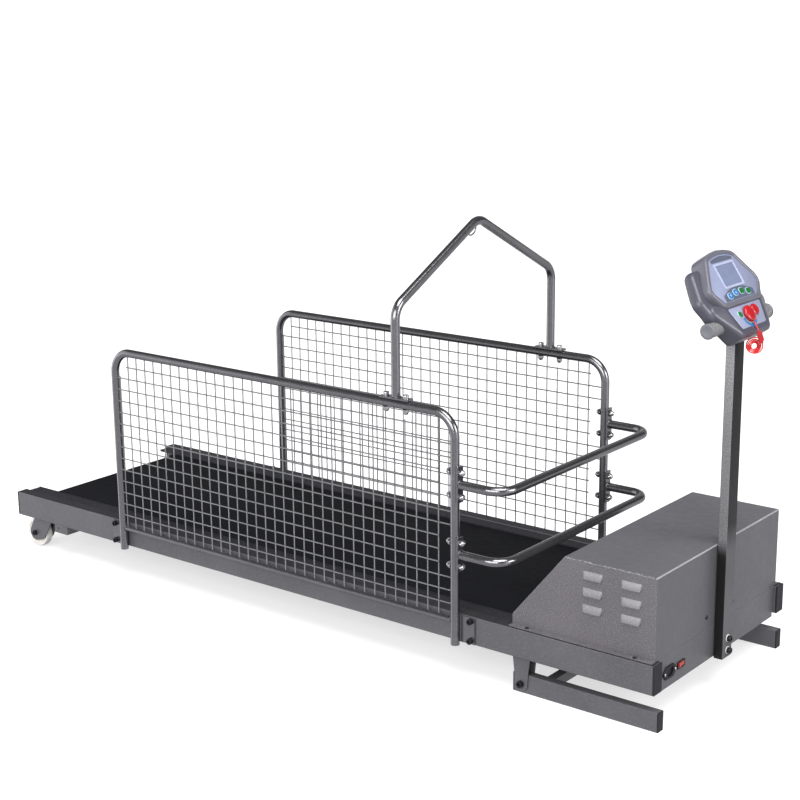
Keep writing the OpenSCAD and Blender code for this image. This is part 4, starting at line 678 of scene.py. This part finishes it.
def hood_sheet():
    """The folded sheet, open below. Its sides take the hood paint, its top and front a darker, smoother copy
    as painted shade, its top front bend a painted highlight and its sides' top bends a painted speckled
    highlight.
    """
    rear = HOOD_X - HOOD_L
    outline = [(HOOD_X, 0), (HOOD_X, HOOD_H), (HOOD_X - HOOD_TOP, HOOD_H), (rear, HOOD_LIP), (rear, 0)]
    bm = bmesh.new()
    sides = [[bm.verts.new((x, y, z)) for x, z in outline] for y in (-HOOD_Y, HOOD_Y)]
    bm.faces.new(sides[0])
    bm.faces.new(sides[1][::-1])
    for i in range(4):
        bm.faces.new((sides[0][i], sides[1][i], sides[1][i + 1], sides[0][i + 1]))
    bmesh.ops.recalc_face_normals(bm, faces=bm.faces)
    edges = [e for e in bm.edges if len(e.link_faces) == 2]
    bmesh.ops.bevel(bm, geom=edges, offset=2.2, segments=3, profile=0.5, affect="EDGES", clamp_overlap=True)
    for v in bm.verts:
        v.co = at(*v.co)
    bmesh.ops.recalc_face_normals(bm, faces=bm.faces)
    me = bpy.data.meshes.new("hood_sheet")
    bm.to_mesh(me)
    bm.free()
    for m in (hood_paint, hood_edge_painted_highlight, hood_bend_highlight, hood_top_front_shade):
        me.materials.append(m)
    # Faces are sorted by the way they face: the top front bend gets the painted highlight, the sides' top
    # bends the painted speckled highlight, the sides the paint, and the rest the darker copy as painted
    # shade.
    for q in me.polygons:
        x, y, z = q.normal
        q.material_index = (1 if x > 0.25 and z > 0.25 else 2 if abs(y) > 0.25 and z > 0.25 and x > -0.1
                            else 0 if abs(y) > 0.5 else 3)
    o = settle(me, "hood_sheet", "hood_grey", angle=30)
    sheet = o.modifiers.new("sheet", "SOLIDIFY")
    sheet.thickness, sheet.offset = HOOD_T * MM, -1
    o.modifiers.new("flat_plates", "WEIGHTED_NORMAL").keep_sharp = True


hood_sheet()
p = Piece(hood_paint)
for s in (-1, 1):
    p.box(HOOD_X - HOOD_L, HOOD_X, s * (HOOD_Y - 1), s * (HOOD_Y + FLANGE), 0.05, HOOD_T)
p.make("hood_flanges", "hood_grey", "hood", 0.5, 34)


def louvre(p, s, cx, cz, nu=22, nv=10):
    """A pressed scoop on the hood's side s, open at its foot. Its underside is black as painted shade, and a
    flat black patch behind it is painted shade for the slot under it.
    """
    skin = []
    for v in (k / nv for k in range(nv + 1)):
        rise = sin(min(1.0, v * 1.15) * pi / 2) ** 0.9
        for u in (-1 + 2 * k / nu for k in range(nu + 1)):
            end = max(0.0, 1 - max(0.0, (abs(u) - 0.72) / 0.28) ** 2) ** 0.5
            skin.append((cx + u * LOUVRE_W / 2, s * (HOOD_Y + 0.05 + LOUVRE_OUT * end * rise),
                         cz + LOUVRE_H / 2 - LOUVRE_H * v * (0.55 + 0.45 * end ** 0.5)))
    shaded_underside = [(x, y - s * 0.9 * min(1.0, abs(y) - HOOD_Y), z) for x, y, z in skin]
    foot = nv * (nu + 1)
    p.put(skin, grid(nv, nu), 0)
    p.put(shaded_underside, [q[::-1] for q in grid(nv, nu)], 1)
    p.put(skin[foot:] + shaded_underside[foot:], grid(1, nu), 0)
    # A flat black patch on the sheet under the scoop: painted shade for its slot.
    y = s * (HOOD_Y + 0.06)
    p.put([(cx - 17, y, cz - 8.2), (cx + 17, y, cz - 8.2), (cx + 17, y, cz + 3), (cx - 17, y, cz + 3)],
          [(0, 1, 2, 3)], 1)


p = Piece(louvre_painted_light, black)
for s in (-1, 1):
    for j in (0, 1):
        for k in (-1, 0, 1):
            louvre(p, s, LOUVRE_X - LOUVRE_PX * j, LOUVRE_Z + LOUVRE_PZ * k)
p.make("hood_louvre_scoops", "hood_grey", angle=60)

p = Piece(bolt_black, black, steel)
for s in (-1, 1):
    for x in (HOOD_X - HOOD_L + 40, HOOD_X - 40):
        p.pan_head(frame_of((x, s * (HOOD_Y + FLANGE / 2), HOOD_T), (0, 0, 1)), 4)
    p.pan_head(frame_of((HOOD_X, s * 55, 26), (1, 0, 0)), 4)
    p.pan_head(frame_of((HOOD_X + 3, s * 20 - INLET_Y, PLATE_Z), (1, 0, 0)), 3, 2)
p.make("case_screws", "bolt_black", "panel_screws")


def plate_frame(y):
    """The front plate's own axes: X to the photograph's right, Y up, Z out."""
    return axes((0, 1, 0), (0, 0, 1), (1, 0, 0), (HOOD_X, -y, PLATE_Z))


# The inlet: an eared rim round a socket whose two lower corners are cut off, with three pins.
SOCKET_W, SOCKET_H, CUT_H = 12, 8, 4
p = Piece(black, steel)
mx = plate_frame(INLET_Y)
rim = support([(-13, -8, 5), (13, -8, 5), (13, 8, 5), (-13, 8, 5), (-20, 0, 5.5), (20, 0, 5.5)])
hole = []
for x, y in rim:
    t = atan2(y, x)
    r = min(SOCKET_W / max(abs(cos(t)), 1e-6), SOCKET_H / max(abs(sin(t)), 1e-6))
    x, y = r * cos(t), r * sin(t)
    if y < -CUT_H:
        x = copysign(min(abs(x), SOCKET_W - (-CUT_H - y) * 5 / 4), x)
    hole.append((x, y))
p.rings([lift(rim, 0), lift(rim, 2.2), lift(rim, 2.8, 0.985), lift(rim, 3, 0.96), lift(hole, 3, 1.12),
         lift(hole, 2.6, 1.02), lift(hole, -13.9)], 0, mx)
for x, y in ((-7, 1), (7, 1), (0, -3)):
    p.box(x - 2, x + 2, y - 1, y + 1, -14, -2.2, 1, mx)
p.make("power_inlet", "black_plastic", "mains_inlet", 0.3)

p = Piece(black)
outer, inner = rounded(13, 5.5, 2, 64), rounded(11.7, 4.2, 0.5, 64)
p.rings([lift(outer, 0), lift(outer, 1.4), lift(outer, 2, 0.97), lift(inner, 2, 1.03), lift(inner, 1.6),
         lift(inner, -9)], 0, plate_frame(SWITCH_Y))
p.make("switch_frame", "black_plastic", "switch_bezel")
refined("switch_rocker", "mains_rocker", rocker_red, "rocker_red", 0.4, 3, "rocker")


# Fence, arch and bars.

COLS = int((FENCE_L - 2 * TUBE_R - 2 * WIRE_D) // MESH_P)
MESH_X0 = POST_X + (FENCE_L - COLS * MESH_P) / 2
MESH_Z0 = FENCE_H - TUBE_R - WIRE_D / 2 - MESH_DROP
ROWS = int((MESH_Z0 + LOW_Z - LOW_R - WIRE_D) // MESH_P)
BARS = (BAR_LOW, BAR_HIGH)
ENDS = ((POST_X, -1), (FRONT_POST, 1))


def col(k):
    return MESH_X0 + k * MESH_P


def row(j):
    return MESH_Z0 - j * MESH_P


def near_bolt(z):
    """Whether a wire at height z would meet the front bars' nuts."""
    return (min(abs(z - b - s * PAIR / 2) for b in BARS for s in (-1, 1)) < MESH_P * 0.46
            or min(abs(z - b) for b in BARS) < PAIR / 2)


def near_foot(x):
    """Whether a wire at x would meet the arch's nuts."""
    return min(abs(x - ARCH_X - s * PAIR / 2) for s in (-1, 1)) < BOLT_R * 1.85 + WIRE_D / 2 + 0.3


def under_tube(x):
    """Height of the frame's inner side over x."""
    r = FENCE_BEND - TUBE_R
    c = max(0, POST_X + FENCE_BEND - x, x - FRONT_POST + FENCE_BEND)
    return FENCE_H - FENCE_BEND + sqrt(r ** 2 - min(c + WIRE_D / 2, r) ** 2)


for side, s in SIDES:
    p = Piece(tube_paint, weld)
    y, plate = s * FENCE_Y, s * (HALF_W + MOUNT_T)
    path = bent([(POST_X, y, -POST_DROP), (POST_X, y, FENCE_H), (FRONT_POST, y, FENCE_H),
                 (FRONT_POST, y, -POST_DROP)], FENCE_BEND)
    p.tube(path, TUBE_R, 32, bore=(TUBE_R - 1.5, 26))
    p.tube([(x - e * TUBE_R * 0.8, y, -LOW_Z) for x, e in ENDS], LOW_R)
    for x, e in ENDS:
        p.bead((x - e * (TUBE_R - 0.6), y, -LOW_Z), (1, 0, 0), LOW_R + 0.2, 1.3)
        x0 = x + e * (TUBE_R * 0.4 - MOUNT_LAP)
        p.box(x0, x0 + e * MOUNT_W, s * HALF_W, plate, 1.5 - RAIL_H, -1.5)
        for z in range(-56, -4, 3):
            p.loft(frame_of((x + e * (TUBE_R - 0.3), plate, z), (0, s, 0)),
                   [(-0.4, 1.9), (0.4, 1.7), (1.0, 1.1), (1.3, 0.3)], 10, 1)
    p.make(f"{side}_fence_tubes", "tube_grey", f"fence_frame_{side}", 0.5)

    q = Piece(wire)
    upright, level = (s * (FENCE_Y + e * (WIRE_D / 2 + 0.05)) for e in (-1, 1))
    low = LOW_R - LOW_Z
    rods = [((col(0), upright, low), (col(0), upright, row(1) + WIRE_D))]
    for x in map(col, range(1, COLS)):
        top = row(0) + WIRE_D if near_foot(x) else min(under_tube(x), FENCE_H - TUBE_R)
        rods.append(((x, upright, low), (x, upright, top)))
    for j in range(ROWS + 1):
        x0 = POST_X + TUBE_R if j else col(1) - WIRE_D
        x1 = FRONT_POST - TUBE_R if j and not near_bolt(row(j)) else col(COLS - 1) + WIRE_D
        rods.append(((x0, level, row(j)), (x1, level, row(j))))
    for a, b in rods:
        q.tube([a, Vector(a).lerp(Vector(b), 0.5), b], WIRE_D / 2, 10)
    q.make(f"{side}_welded_mesh", "mesh_steel", f"fence_mesh_{side}", angle=50)

p = Piece(bolt_black)
for s in (-1, 1):
    for x, e in ENDS:
        for t in (-1, 1):
            c = x + e * (TUBE_R * 0.4 + MOUNT_HOLE), s * (HALF_W + MOUNT_T), (t * MOUNT_PITCH - RAIL_H) / 2
            p.socket_head(frame_of(c, (0, s, 0)), BOLT_R)
p.make("mount_socket_screws", "bolt_black", "fence_bolts", angle=32)

# The arch's eye is a shallow loop along its slope, beside the top.
p = Piece(tube_paint, weld)
z0, half = FENCE_H + TUBE_R, FOOT_L / 2
path = [(ARCH_X, -FENCE_Y, z0 + 1), (ARCH_X, -FENCE_Y, ARCH_SIDE), (ARCH_X, 0, ARCH_TOP),
        (ARCH_X, FENCE_Y, ARCH_SIDE), (ARCH_X, FENCE_Y, z0 + 1)]
p.tube(bent(path, ARCH_BEND), TUBE_R, 32)
for s in (-1, 1):
    p.box(ARCH_X - half, ARCH_X + half, s * FENCE_Y - TUBE_R, s * FENCE_Y + TUBE_R, z0, z0 + FOOT_T)
    p.bead((ARCH_X, s * FENCE_Y, z0 + FOOT_T + 0.3), (0, 0, 1), TUBE_R + 0.2, 1.5)
rise = atan2(ARCH_TOP - ARCH_SIDE, FENCE_Y)
along, below = Vector((0, cos(rise), sin(rise))), Vector((0, sin(rise), -cos(rise)))
eye = Vector((ARCH_X, 0, ARCH_TOP)) - ARCH_BEND * tan(rise) * along - 8 * along + TUBE_R * below
p.tube([eye + 15 * cos(t) * along + (11 * sin(t) - 1.2) * below for t in (pi * k / 24 for k in range(25))],
       1.6, 12)
p.within(FENCE_OUT)
p.make("leash_arch_tube", "tube_grey", "leash_arch", 0.5)

x0, x1 = FRONT_POST + TUBE_R, FRONT_POST + BAR_REACH
for label, z in (("upper", BAR_HIGH), ("lower", BAR_LOW)):
    p = Piece(tube_paint, weld)
    p.tube(bent([(x0 + 1, -FENCE_Y, z), (x1, -FENCE_Y, z), (x1, FENCE_Y, z), (x0 + 1, FENCE_Y, z)], BAR_BEND),
           TUBE_R, 32)
    for s in (-1, 1):
        p.box(x0, x0 + BAR_PLATE, s * FENCE_Y - TUBE_R, s * FENCE_Y + TUBE_R, z - PAIR / 2 - 12,
              z + PAIR / 2 + 12)
        p.bead((x0 + BAR_PLATE + 0.3, s * FENCE_Y, z), (1, 0, 0), TUBE_R + 0.2, 1.5)
    p.within(FENCE_OUT)
    p.make(f"{label}_front_bar", "tube_grey", f"front_bar_{label}", 0.6)

arch, nuts = Piece(zinc), Piece(zinc)
for s, t in ((-1, -1), (-1, 1), (1, -1), (1, 1)):
    x, y = ARCH_X + t * PAIR / 2, s * FENCE_Y
    arch.socket_head(frame_of((x, y, z0 + FOOT_T), (0, 0, 1)), BOLT_R)
    arch.dome_nut(frame_of((x, y, z0 - 2 * TUBE_R), (0, 0, -1)), BOLT_R)
    for z in (b + t * PAIR / 2 for b in BARS):
        nuts.dome_nut(frame_of((FRONT_POST - TUBE_R, y, z), (-1, 0, 0)), BOLT_R)
        nuts.dome_nut(frame_of((FRONT_POST + TUBE_R + BAR_PLATE, y, z), (1, 0, 0)), BOLT_R)
arch.make("arch_screws", "bright_bolts", "arch_bolts", angle=32)
nuts.make("bar_cap_nuts", "bright_bolts", "bar_bolts", angle=32)


# Legs and wheels.

refined("leg_brackets", "leg_hinge_brackets", paint, "rail_grey", 0.6)
refined("leg_frame", "folding_leg_frame", paint, "leg_grey", 1.6, 3, "legs")
refined("leg_plugs", "leg_end_plugs", cap_black, "black_plastic", 0.6, 2, "legs")
refined("wheel_forks", "wheel_fork_plates", paint, "rail_grey", 0.6)

# Bolts through both sides: where they are, how far out their heads sit, then head, nut and shank.
for name, node, x, y, z, out, head, nut, shank in (
        ("leg_pivot_bolts", "leg_bolts", PIVOT_X, LEG_Y, PIVOT_Z, LEG_W / 2 + 3.5, 4.5, (9, 7), 5),
        ("wheel_axle_bolts", "wheel_bolts", WHEEL_X, WHEEL_Y, WHEEL_Z, WHEEL_W / 2 + 4, BOLT_R, (7.4, 6),
         BOLT_R)):
    p = Piece(bolt_black)
    for s in (-1, 1):
        a, b = (x, s * (y + out), z), (x, s * (y - out), z)
        p.socket_head(frame_of(a, (0, s, 0)), head)
        p.hex_nut(frame_of(b, (0, -s, 0)), *nut)
        p.cyl(b, a, shank)
    p.make(name, "bolt_black", node, angle=32)

hw = WHEEL_W / 2
prof = [(4.05, -hw), (10.6, -hw), (11.2, -hw + 0.4), (13, -hw + 4), (27.5, -hw + 4.2), (29.3, -hw + 2.2),
        (30.2, -hw + 1), (34, -hw + 1), (36, -hw + 2), (37, -hw + 4.5)]
prof += [(r, -z) for r, z in reversed(prof)]
for side, s in SIDES:
    p = Piece(nylon)
    mx = frame_of((WHEEL_X, s * WHEEL_Y, WHEEL_Z), (0, 1, 0))
    p.rings([[polar(r, t, z) for t in turns(64)] for r, z in prof + prof[:1]], 0, mx, (False, False))
    for k in range(6):
        for e in (-1, 1):
            c = mx @ Vector(polar(20.3, pi / 3 * k + 0.3, e * (hw - 4.1)))
            p.loft(frame_of(c, (0, e, 0)), [(-0.2, 4.6), (0.6, 4.6), (0.9, 4.2), (0.9, 3.2), (0.1, 3.0)], 24)
    o = p.make(f"{side}_transport_wheel", "wheel_white", f"wheel_{side}", body=f"{side}_wheel")
    mend(o.data, 1e-6)


# Mast and cross tube.

p = Piece(mast_front_shade, mast_side_painted_light_and_shade)
outer = rounded(MAST_D / 2 - 2.5, MAST_W / 2 - 2.5, 2.5)
inner = rounded(MAST_D / 2 - 2.8, MAST_W / 2 - 2.8, 1.3)
p.rings([lift(inner, 60 - MAST_DROP), lift(inner, -MAST_DROP)]
        + [lift(outer, z) for z in (-MAST_DROP, 0, 200, 400, CROSS_H - CROSS_R * 0.4)],
        0, Matrix.Translation((MAST_X, 0, 0)))
mast = p.make("mast_tube", "rail_grey", "mast")
# The sides take the lighter copy and the front the darker one: painted light and shade.
for q in mast.data.polygons:
    q.material_index = 1 if abs(q.normal.y) > 0.7 else 0
p = Piece(bolt_black, washer)
for z in (15 - MAST_DROP, 40 - MAST_DROP):
    p.socket_head(frame_of((MAST_X + MAST_D / 2, 0, z), (1, 0, 0)), BOLT_R, 1)
    p.hex_nut(frame_of((HOOD_X - HOOD_T, 0, z), (-1, 0, 0)), 7.4, 6)
p.make("mast_screws", "bolt_black", "mast_bolts", angle=32)
p = Piece(cross_paint)
p.tube([(CROSS_X, t * CROSS_L / 2, CROSS_H) for t in (-1, 0, 1)], CROSS_R, 40)
p.make("console_cross_tube", "tube_grey", "cross_tube")
p = Piece(cap_grey)
for s in (-1, 1):
    p.loft(frame_of((CROSS_X, s * CROSS_L / 2, CROSS_H), (0, s, 0)),
           [(0, 14.6), (0.3, 15), (2.0, 15), (2.7, 14.5), (3, 13.4), (3, 9), (2.8, 8.4), (2.8, 0.4)], 48)
p.make("cross_tube_end_caps", "cap_grey", "cross_tube_caps")


# Console.

POD = both((-19, 38, 29), (-22.8, 20, 29), (-24.4, 0, 29), (22, 74, 24), (42, 62, 20))
PANEL = both((66.5, 60, 4), (103, 45, 5))
SKIRT, CAP = (True, False), (False, True)


def ring_at(circles, grow, z, n=120):
    return lift(support(circles, n, grow), z)


def oval(b, a, w, h):
    """The two end circles of an oval w across and h down."""
    return [(b, a - (w - h) / 2, h / 2), (b, a + (w - h) / 2, h / 2)]


def add_hull(bm, discs, edge):
    """The hull of discs (b, a, n0, n1, r) with rounded rims."""
    verts = []
    for b, a, n0, n1, r in discs:
        e = min(edge, (n1 - n0) / 2, r * 0.8)
        levels = [(n0 + e - e * sin(t), r - e + e * cos(t)) for t in (pi / 8 * k for k in range(5))]
        levels += [(n0 + n1 - z, q) for z, q in levels]
        verts += [bm.verts.new((b + q * cos(t), a + q * sin(t), z)) for z, q in levels for t in turns(24)]
    bmesh.ops.convex_hull(bm, input=verts)
    bmesh.ops.delete(bm, geom=[v for v in verts if not v.link_faces], context="VERTS")


def baked(o, *spare):
    """The object's mesh with its modifiers applied. It and the spare objects are removed."""
    done = bpy.data.meshes.new_from_object(o.evaluated_get(bpy.context.evaluated_depsgraph_get()))
    for t in (o, *spare):
        bpy.data.objects.remove(t)
    return done


def shell_mesh():
    """The housing: an upper and a lower hull, joined and rounded where they meet."""
    bm = bmesh.new()
    add_hull(bm, both((-10, 84, -40, -15, 20), (34, 101, -40, -14, 20), (58, 93, -40, -14, 17),
                      (20, 60, -60, -32, 24)), 10)
    add_hull(bm, both((60, 88, -42, -10, 16), (66, 64, -9, -3, 10), (112, 52, -9, -3, 8),
                      (112, 52, -46, -6, 12)), 5)
    for v in bm.verts:
        v.co = at(*(FACE @ v.co))
    me = bpy.data.meshes.new("shell_hulls")
    bm.to_mesh(me)
    bm.free()
    o = link("shell_hulls", me)
    union = o.modifiers.new("union", "REMESH")
    union.mode, union.voxel_size = "VOXEL", 0.0014
    soften = o.modifiers.new("soften", "SMOOTH")
    soften.factor, soften.iterations = 0.5, 14
    return baked(o)


def cut(me, pieces):
    """The mesh with the pieces' room taken out of it."""
    o = link("cutting", me)
    tools = []
    for k, p in enumerate(pieces):
        tool = bpy.data.meshes.new(f"tool{k}")
        tool.from_pydata([at(*q) for q in p.v], [], p.f)
        mend(tool)
        tools.append(link(f"tool{k}", tool))
        b = o.modifiers.new(f"cut{k}", "BOOLEAN")
        b.operation, b.object, b.solver = "DIFFERENCE", tools[-1], "EXACT"
    return baked(o, *tools)


def seat(circles, low, n=48):
    """A tool a gap wider than the circles' hull, from low to over the face."""
    p = Piece()
    p.rings([ring_at(circles, GAP, z, n) for z in (low, 12)], 0, FACE)
    return p


mast_slot = Piece()
mast_slot.box(HOOD_X, MAST_X + MAST_D / 2 + GAP, -MAST_W / 2 - GAP, MAST_W / 2 + GAP, CROSS_H - 120,
              CROSS_H + 10)
me = cut(shell_mesh(), [seat(PANEL, CHIN_N - PANEL_T, 120), seat(oval(*START_AT, START_W, START_H), -11),
                        seat([(*STOP_AT, STOP_R)], -11), mast_slot])
me.materials.clear()
me.materials.append(shell)
settle(me, "console_shell", "housing_grey", "console_housing", angle=38)

p = Piece(pod_shell)
prof = [(-1.5, -34), (-0.4, -33.4), (0, -31.5), (0, -5), (-0.4, -2.4), (-1.4, -0.3), (-2.8, 1.1),
        (-4.4, RIM_TOP), (-2 - RIM_W / 2, RIM_TOP), (1 - RIM_W, 0.7), (-RIM_W, -0.6), (-RIM_W, -2.6)]
p.rings([ring_at(POD, g, z) for g, z in prof], 0, FACE)
p.make("console_pod_body", "housing_grey", "console_pod", angle=45)

# The faceplate, and on it a grey field below the buttons and a grey band above the display.
PLATE_N, FIELD = RIM_TOP - RIM_D + 1.8, 0.12
BAND_B = -28.5
p = Piece(silver, film_grey, lcd_rim)
p.rings([ring_at(POD, -RIM_W - GAP, RIM_TOP - RIM_D), ring_at(POD, -RIM_W - GAP, PLATE_N - 0.3),
         ring_at(POD, -RIM_W - 0.7, PLATE_N)], 0, FACE)
edge = ring_at(POD, -RIM_W - 1.2, PLATE_N + FIELD, 720)
field = []
for k in range(61):
    a = -58 + 116 * k / 60
    low = max(p0 + (q0 - p0) * (a - p1) / (q1 - p1)
              for (p0, p1, _), (q0, q1, _) in zip(edge, edge[1:] + edge[:1])
              if (p1 - a) * (q1 - a) <= 0 and p1 != q1)
    high = min(low - 0.4, 25.5 + 13.5 * (a / 60) ** 2)
    field += [(high + (low - high) * t / 3, a, PLATE_N + FIELD) for t in range(4)]
p.put(field, grid(60, 3), 1, FACE)
band = sorted((a, max(-34.6 - 5.4 * max(0, 1 - (a / 38) ** 2), b)) for b, a, _ in edge
              if b < BAND_B and abs(a) < 42)
p.put([(b, a, PLATE_N + FIELD) for a, top in band for b in (top, BAND_B)], grid(len(band) - 1, 1), 1, FACE)
p.make("console_faceplate", "plate_silver", "faceplate")


def rect_ring(g, z, r=1.2):
    """A ring about the display, g outside it and z above the faceplate."""
    return lift(rounded(LCD_H / 2 + g - r, LCD_W / 2 + g - r, r), PLATE_N + z)


p = Piece(lcd, lcd_rim)
p.rings([rect_ring(g, z) for g, z in ((4.6, 0.05), (4.6, 0.9), (4.1, 1.4), (0.5, 1.4), (0.1, 0.5))], 1, FACE,
        SKIRT)
p.rings([rect_ring(0.1, 0.45), rect_ring(0.1, 0.5)], 0, FACE)
p.make("lcd_window", "display_grey", "display")


def oval_key(p, b, a, w, h, levels):
    """A key of ovals (shrink, level): the first four are its pale skirt, the fourth to the last its cap."""
    rings = [ring_at(oval(b, a, w - g, h - g), 0, z, 40) for g, z in levels]
    p.rings(rings[:4], 0, FACE, SKIRT)
    p.rings(rings[3:], 1, FACE, CAP)


KEY_TOP, ARROW = 1.3, 0.04
for i, b in enumerate((41, 37, 37, 41)):
    a, colour = OVAL_STEP * (i - 1.5), "blue" if i < 2 else "green"
    p = Piece(white, blue if i < 2 else green, white)
    oval_key(p, b, a, OVAL_W, OVAL_H, ((0, -4.5), (0, 0.4), (0.7, 0.7), (2, 0.75), (2.4, 1.1), (4, KEY_TOP),
                                       (9, KEY_TOP)))
    if i < 2:
        d = 1 - 2 * i
        p.put([(b + q * d, a + c, z) for z in (KEY_TOP, KEY_TOP + ARROW)
               for q, c in ((-2.4, -3), (-2.4, 3), (2.6, 0))],
              [(2, 1, 0), (3, 4, 5), (0, 1, 4, 3), (1, 2, 5, 4), (2, 0, 3, 5)], 2, FACE)
    p.make(f"oval_key_{i + 1}", f"button_{colour}", f"button_{i + 1}", body=f"oval_button_{i + 1}")

# The lower panel, with a blue and a yellow arc printed round the key.
p = Piece(silver_low, blue, yellow)
p.rings([ring_at(PANEL, g, CHIN_N + z) for g, z in ((-GAP, -PANEL_T), (-GAP, -0.25), (-0.6, 0))], 0, FACE)
for r0, r1, m, t0, t1 in ((18.3, 25.5, 1, -78, 100), (17.1, 18.1, 2, -60, 70)):
    arc = [radians(t0 + (t1 - t0) * k / 40) for k in range(41)]
    p.put([(KEY_B + r * cos(t), KEY_A + r * sin(t), CHIN_N + 0.08) for r in (r0, r1) for t in arc],
          grid(1, 40), m, FACE)
p.make("lower_key_panel", "plate_silver", "lower_panel")

p = Piece(white, green)
oval_key(p, *START_AT, START_W, START_H, ((0, -8), (0, -1.9), (0.6, -1.6), (2.4, -1.55), (3, -1.1),
                                          (4.4, -0.8), (11, -0.8)))
p.make("start_key", "button_green", "start_button", body="start_button")
p = Piece(red)
p.loft(FACE @ Matrix.Translation((*STOP_AT, -8)),
       [(0, STOP_R), (7.4, STOP_R), (8.3, STOP_R - 0.5), (9.1, STOP_R - 1.6), (9.5, STOP_R - 3), (9.3, 5),
        (9.2, 0.4)], 48)
p.make("stop_key", "red_plastic", "stop_button", body="stop_button")
p = Piece(red)
p.loft(FACE @ Matrix.Translation((KEY_B, KEY_A, KEY_N)),
       [(0, KEY_R - 1), (0.5, KEY_R - 0.3), (1.5, KEY_R), (5.5, KEY_R), (6.6, KEY_R - 0.6),
        (7.6, KEY_R - 2.4), (8.4, KEY_R - 5.5), (8.9, 6), (9, 0.4)], 64)
p.make("safety_key_disc", "red_plastic", "safety_key", body="key")


# Floor, room and lamps.

me = bpy.data.meshes.new("floor")
me.from_pydata([(-30, -30, 0), (30, -30, 0), (30, 30, 0), (-30, 30, 0)], [], [(0, 1, 2, 3)])
floor_mat = surface("studio_floor", (0.42, 0.42, 0.42), 0.9, 0, None, (0.004, 7.0), spec=0.1)
glow = floor_mat.node_tree.nodes["Principled BSDF"].inputs
glow["Emission Color"].default_value = (1, 1, 1, 1)
glow["Emission Strength"].default_value = FLOOR_GLOW
me.materials.append(floor_mat)
floor = link("floor", me)
floor.visible_glossy = floor.visible_diffuse = False

# The room: white where it is seen directly. Its diffuse light comes from beside the machine, overhead and in
# front; what shines back off the metal is a bright floor and horizon, two strips, and a dark ceiling.
world = bpy.data.worlds.new("studio")
bpy.context.scene.world = world
node = node_maker(world)
sky = node("TexCoord", (), "Generated")
path = node("LightPath", (), None)


def room(base, patches):
    """Light of a base strength, plus smooth bright patches (direction, from, to, strength)."""
    total = base
    for direction, lo, hi, strength in patches:
        d = node("VectorMath", {0: sky, 1: Vector(direction).normalized()}, "Value", operation="DOT_PRODUCT")
        patch = remap(node, d, lo, hi, 0, strength, interpolation_type="SMOOTHSTEP")
        total = node("Math", {0: patch, 1: total}, operation="ADD")
    return node("Background", {"Strength": total, "Color": (0.97, 0.975, 1, 1)})


def choose(ray, a, b):
    return node("MixShader", {0: path.outputs[ray], 1: a, 2: b})


lit = room(ROOM, (((-0.25, -0.95, 0.2), 0.2, 0.95, ROOM_SIDE), ((0, 0, 1), 0.55, 0.95, ROOM_TOP),
                  ((1, 0, 0.1), 0.3, 1.0, ROOM_FRONT), ((-0.2, 0.95, 0.2), 0.2, 0.95, ROOM_FAR)))
shine = room(0.03, (((0, 0, -1), -0.22, 0.02, 0.75), ((-0.95, -0.3, 0.1), 0.82, 0.93, 1.3),
                    ((0.95, 0.1, 0.2), 0.8, 0.95, 0.9), ((-0.35, 0.9, 0.25), 0.8, 0.98, 0.3)))
backdrop = node("Background", {"Strength": BACKDROP, "Color": (1, 1, 1, 1)})
node("OutputWorld", {0: choose("Is Camera Ray", choose("Is Glossy Ray", lit, shine), backdrop)}, None)


def softbox(name, place, aim, w, h, watts):
    d = bpy.data.lights.new(name, "AREA")
    d.shape, d.size, d.size_y, d.energy = "RECTANGLE", w, h, watts
    o = link(name, d)
    o.location = place
    o.rotation_mode = "QUATERNION"
    o.rotation_quaternion = (Vector(aim) - Vector(place)).to_track_quat("-Z", "Y")


softbox("key", (0.9, -4.0, 2.0), (0.3, 0, 0.3), 4.2, 2.2, KEY_WATTS)
softbox("front", (4.2, 0.4, 1.9), (0.6, 0, 0.4), 1.8, 1.4, FRONT_WATTS)
sun = bpy.data.lights.new("overhead", "SUN")
sun.energy, sun.angle = SUN, radians(42)
link("overhead", sun).rotation_euler = (radians(12), radians(18), 0)
bpy.context.scene.view_settings.view_transform = "Standard"
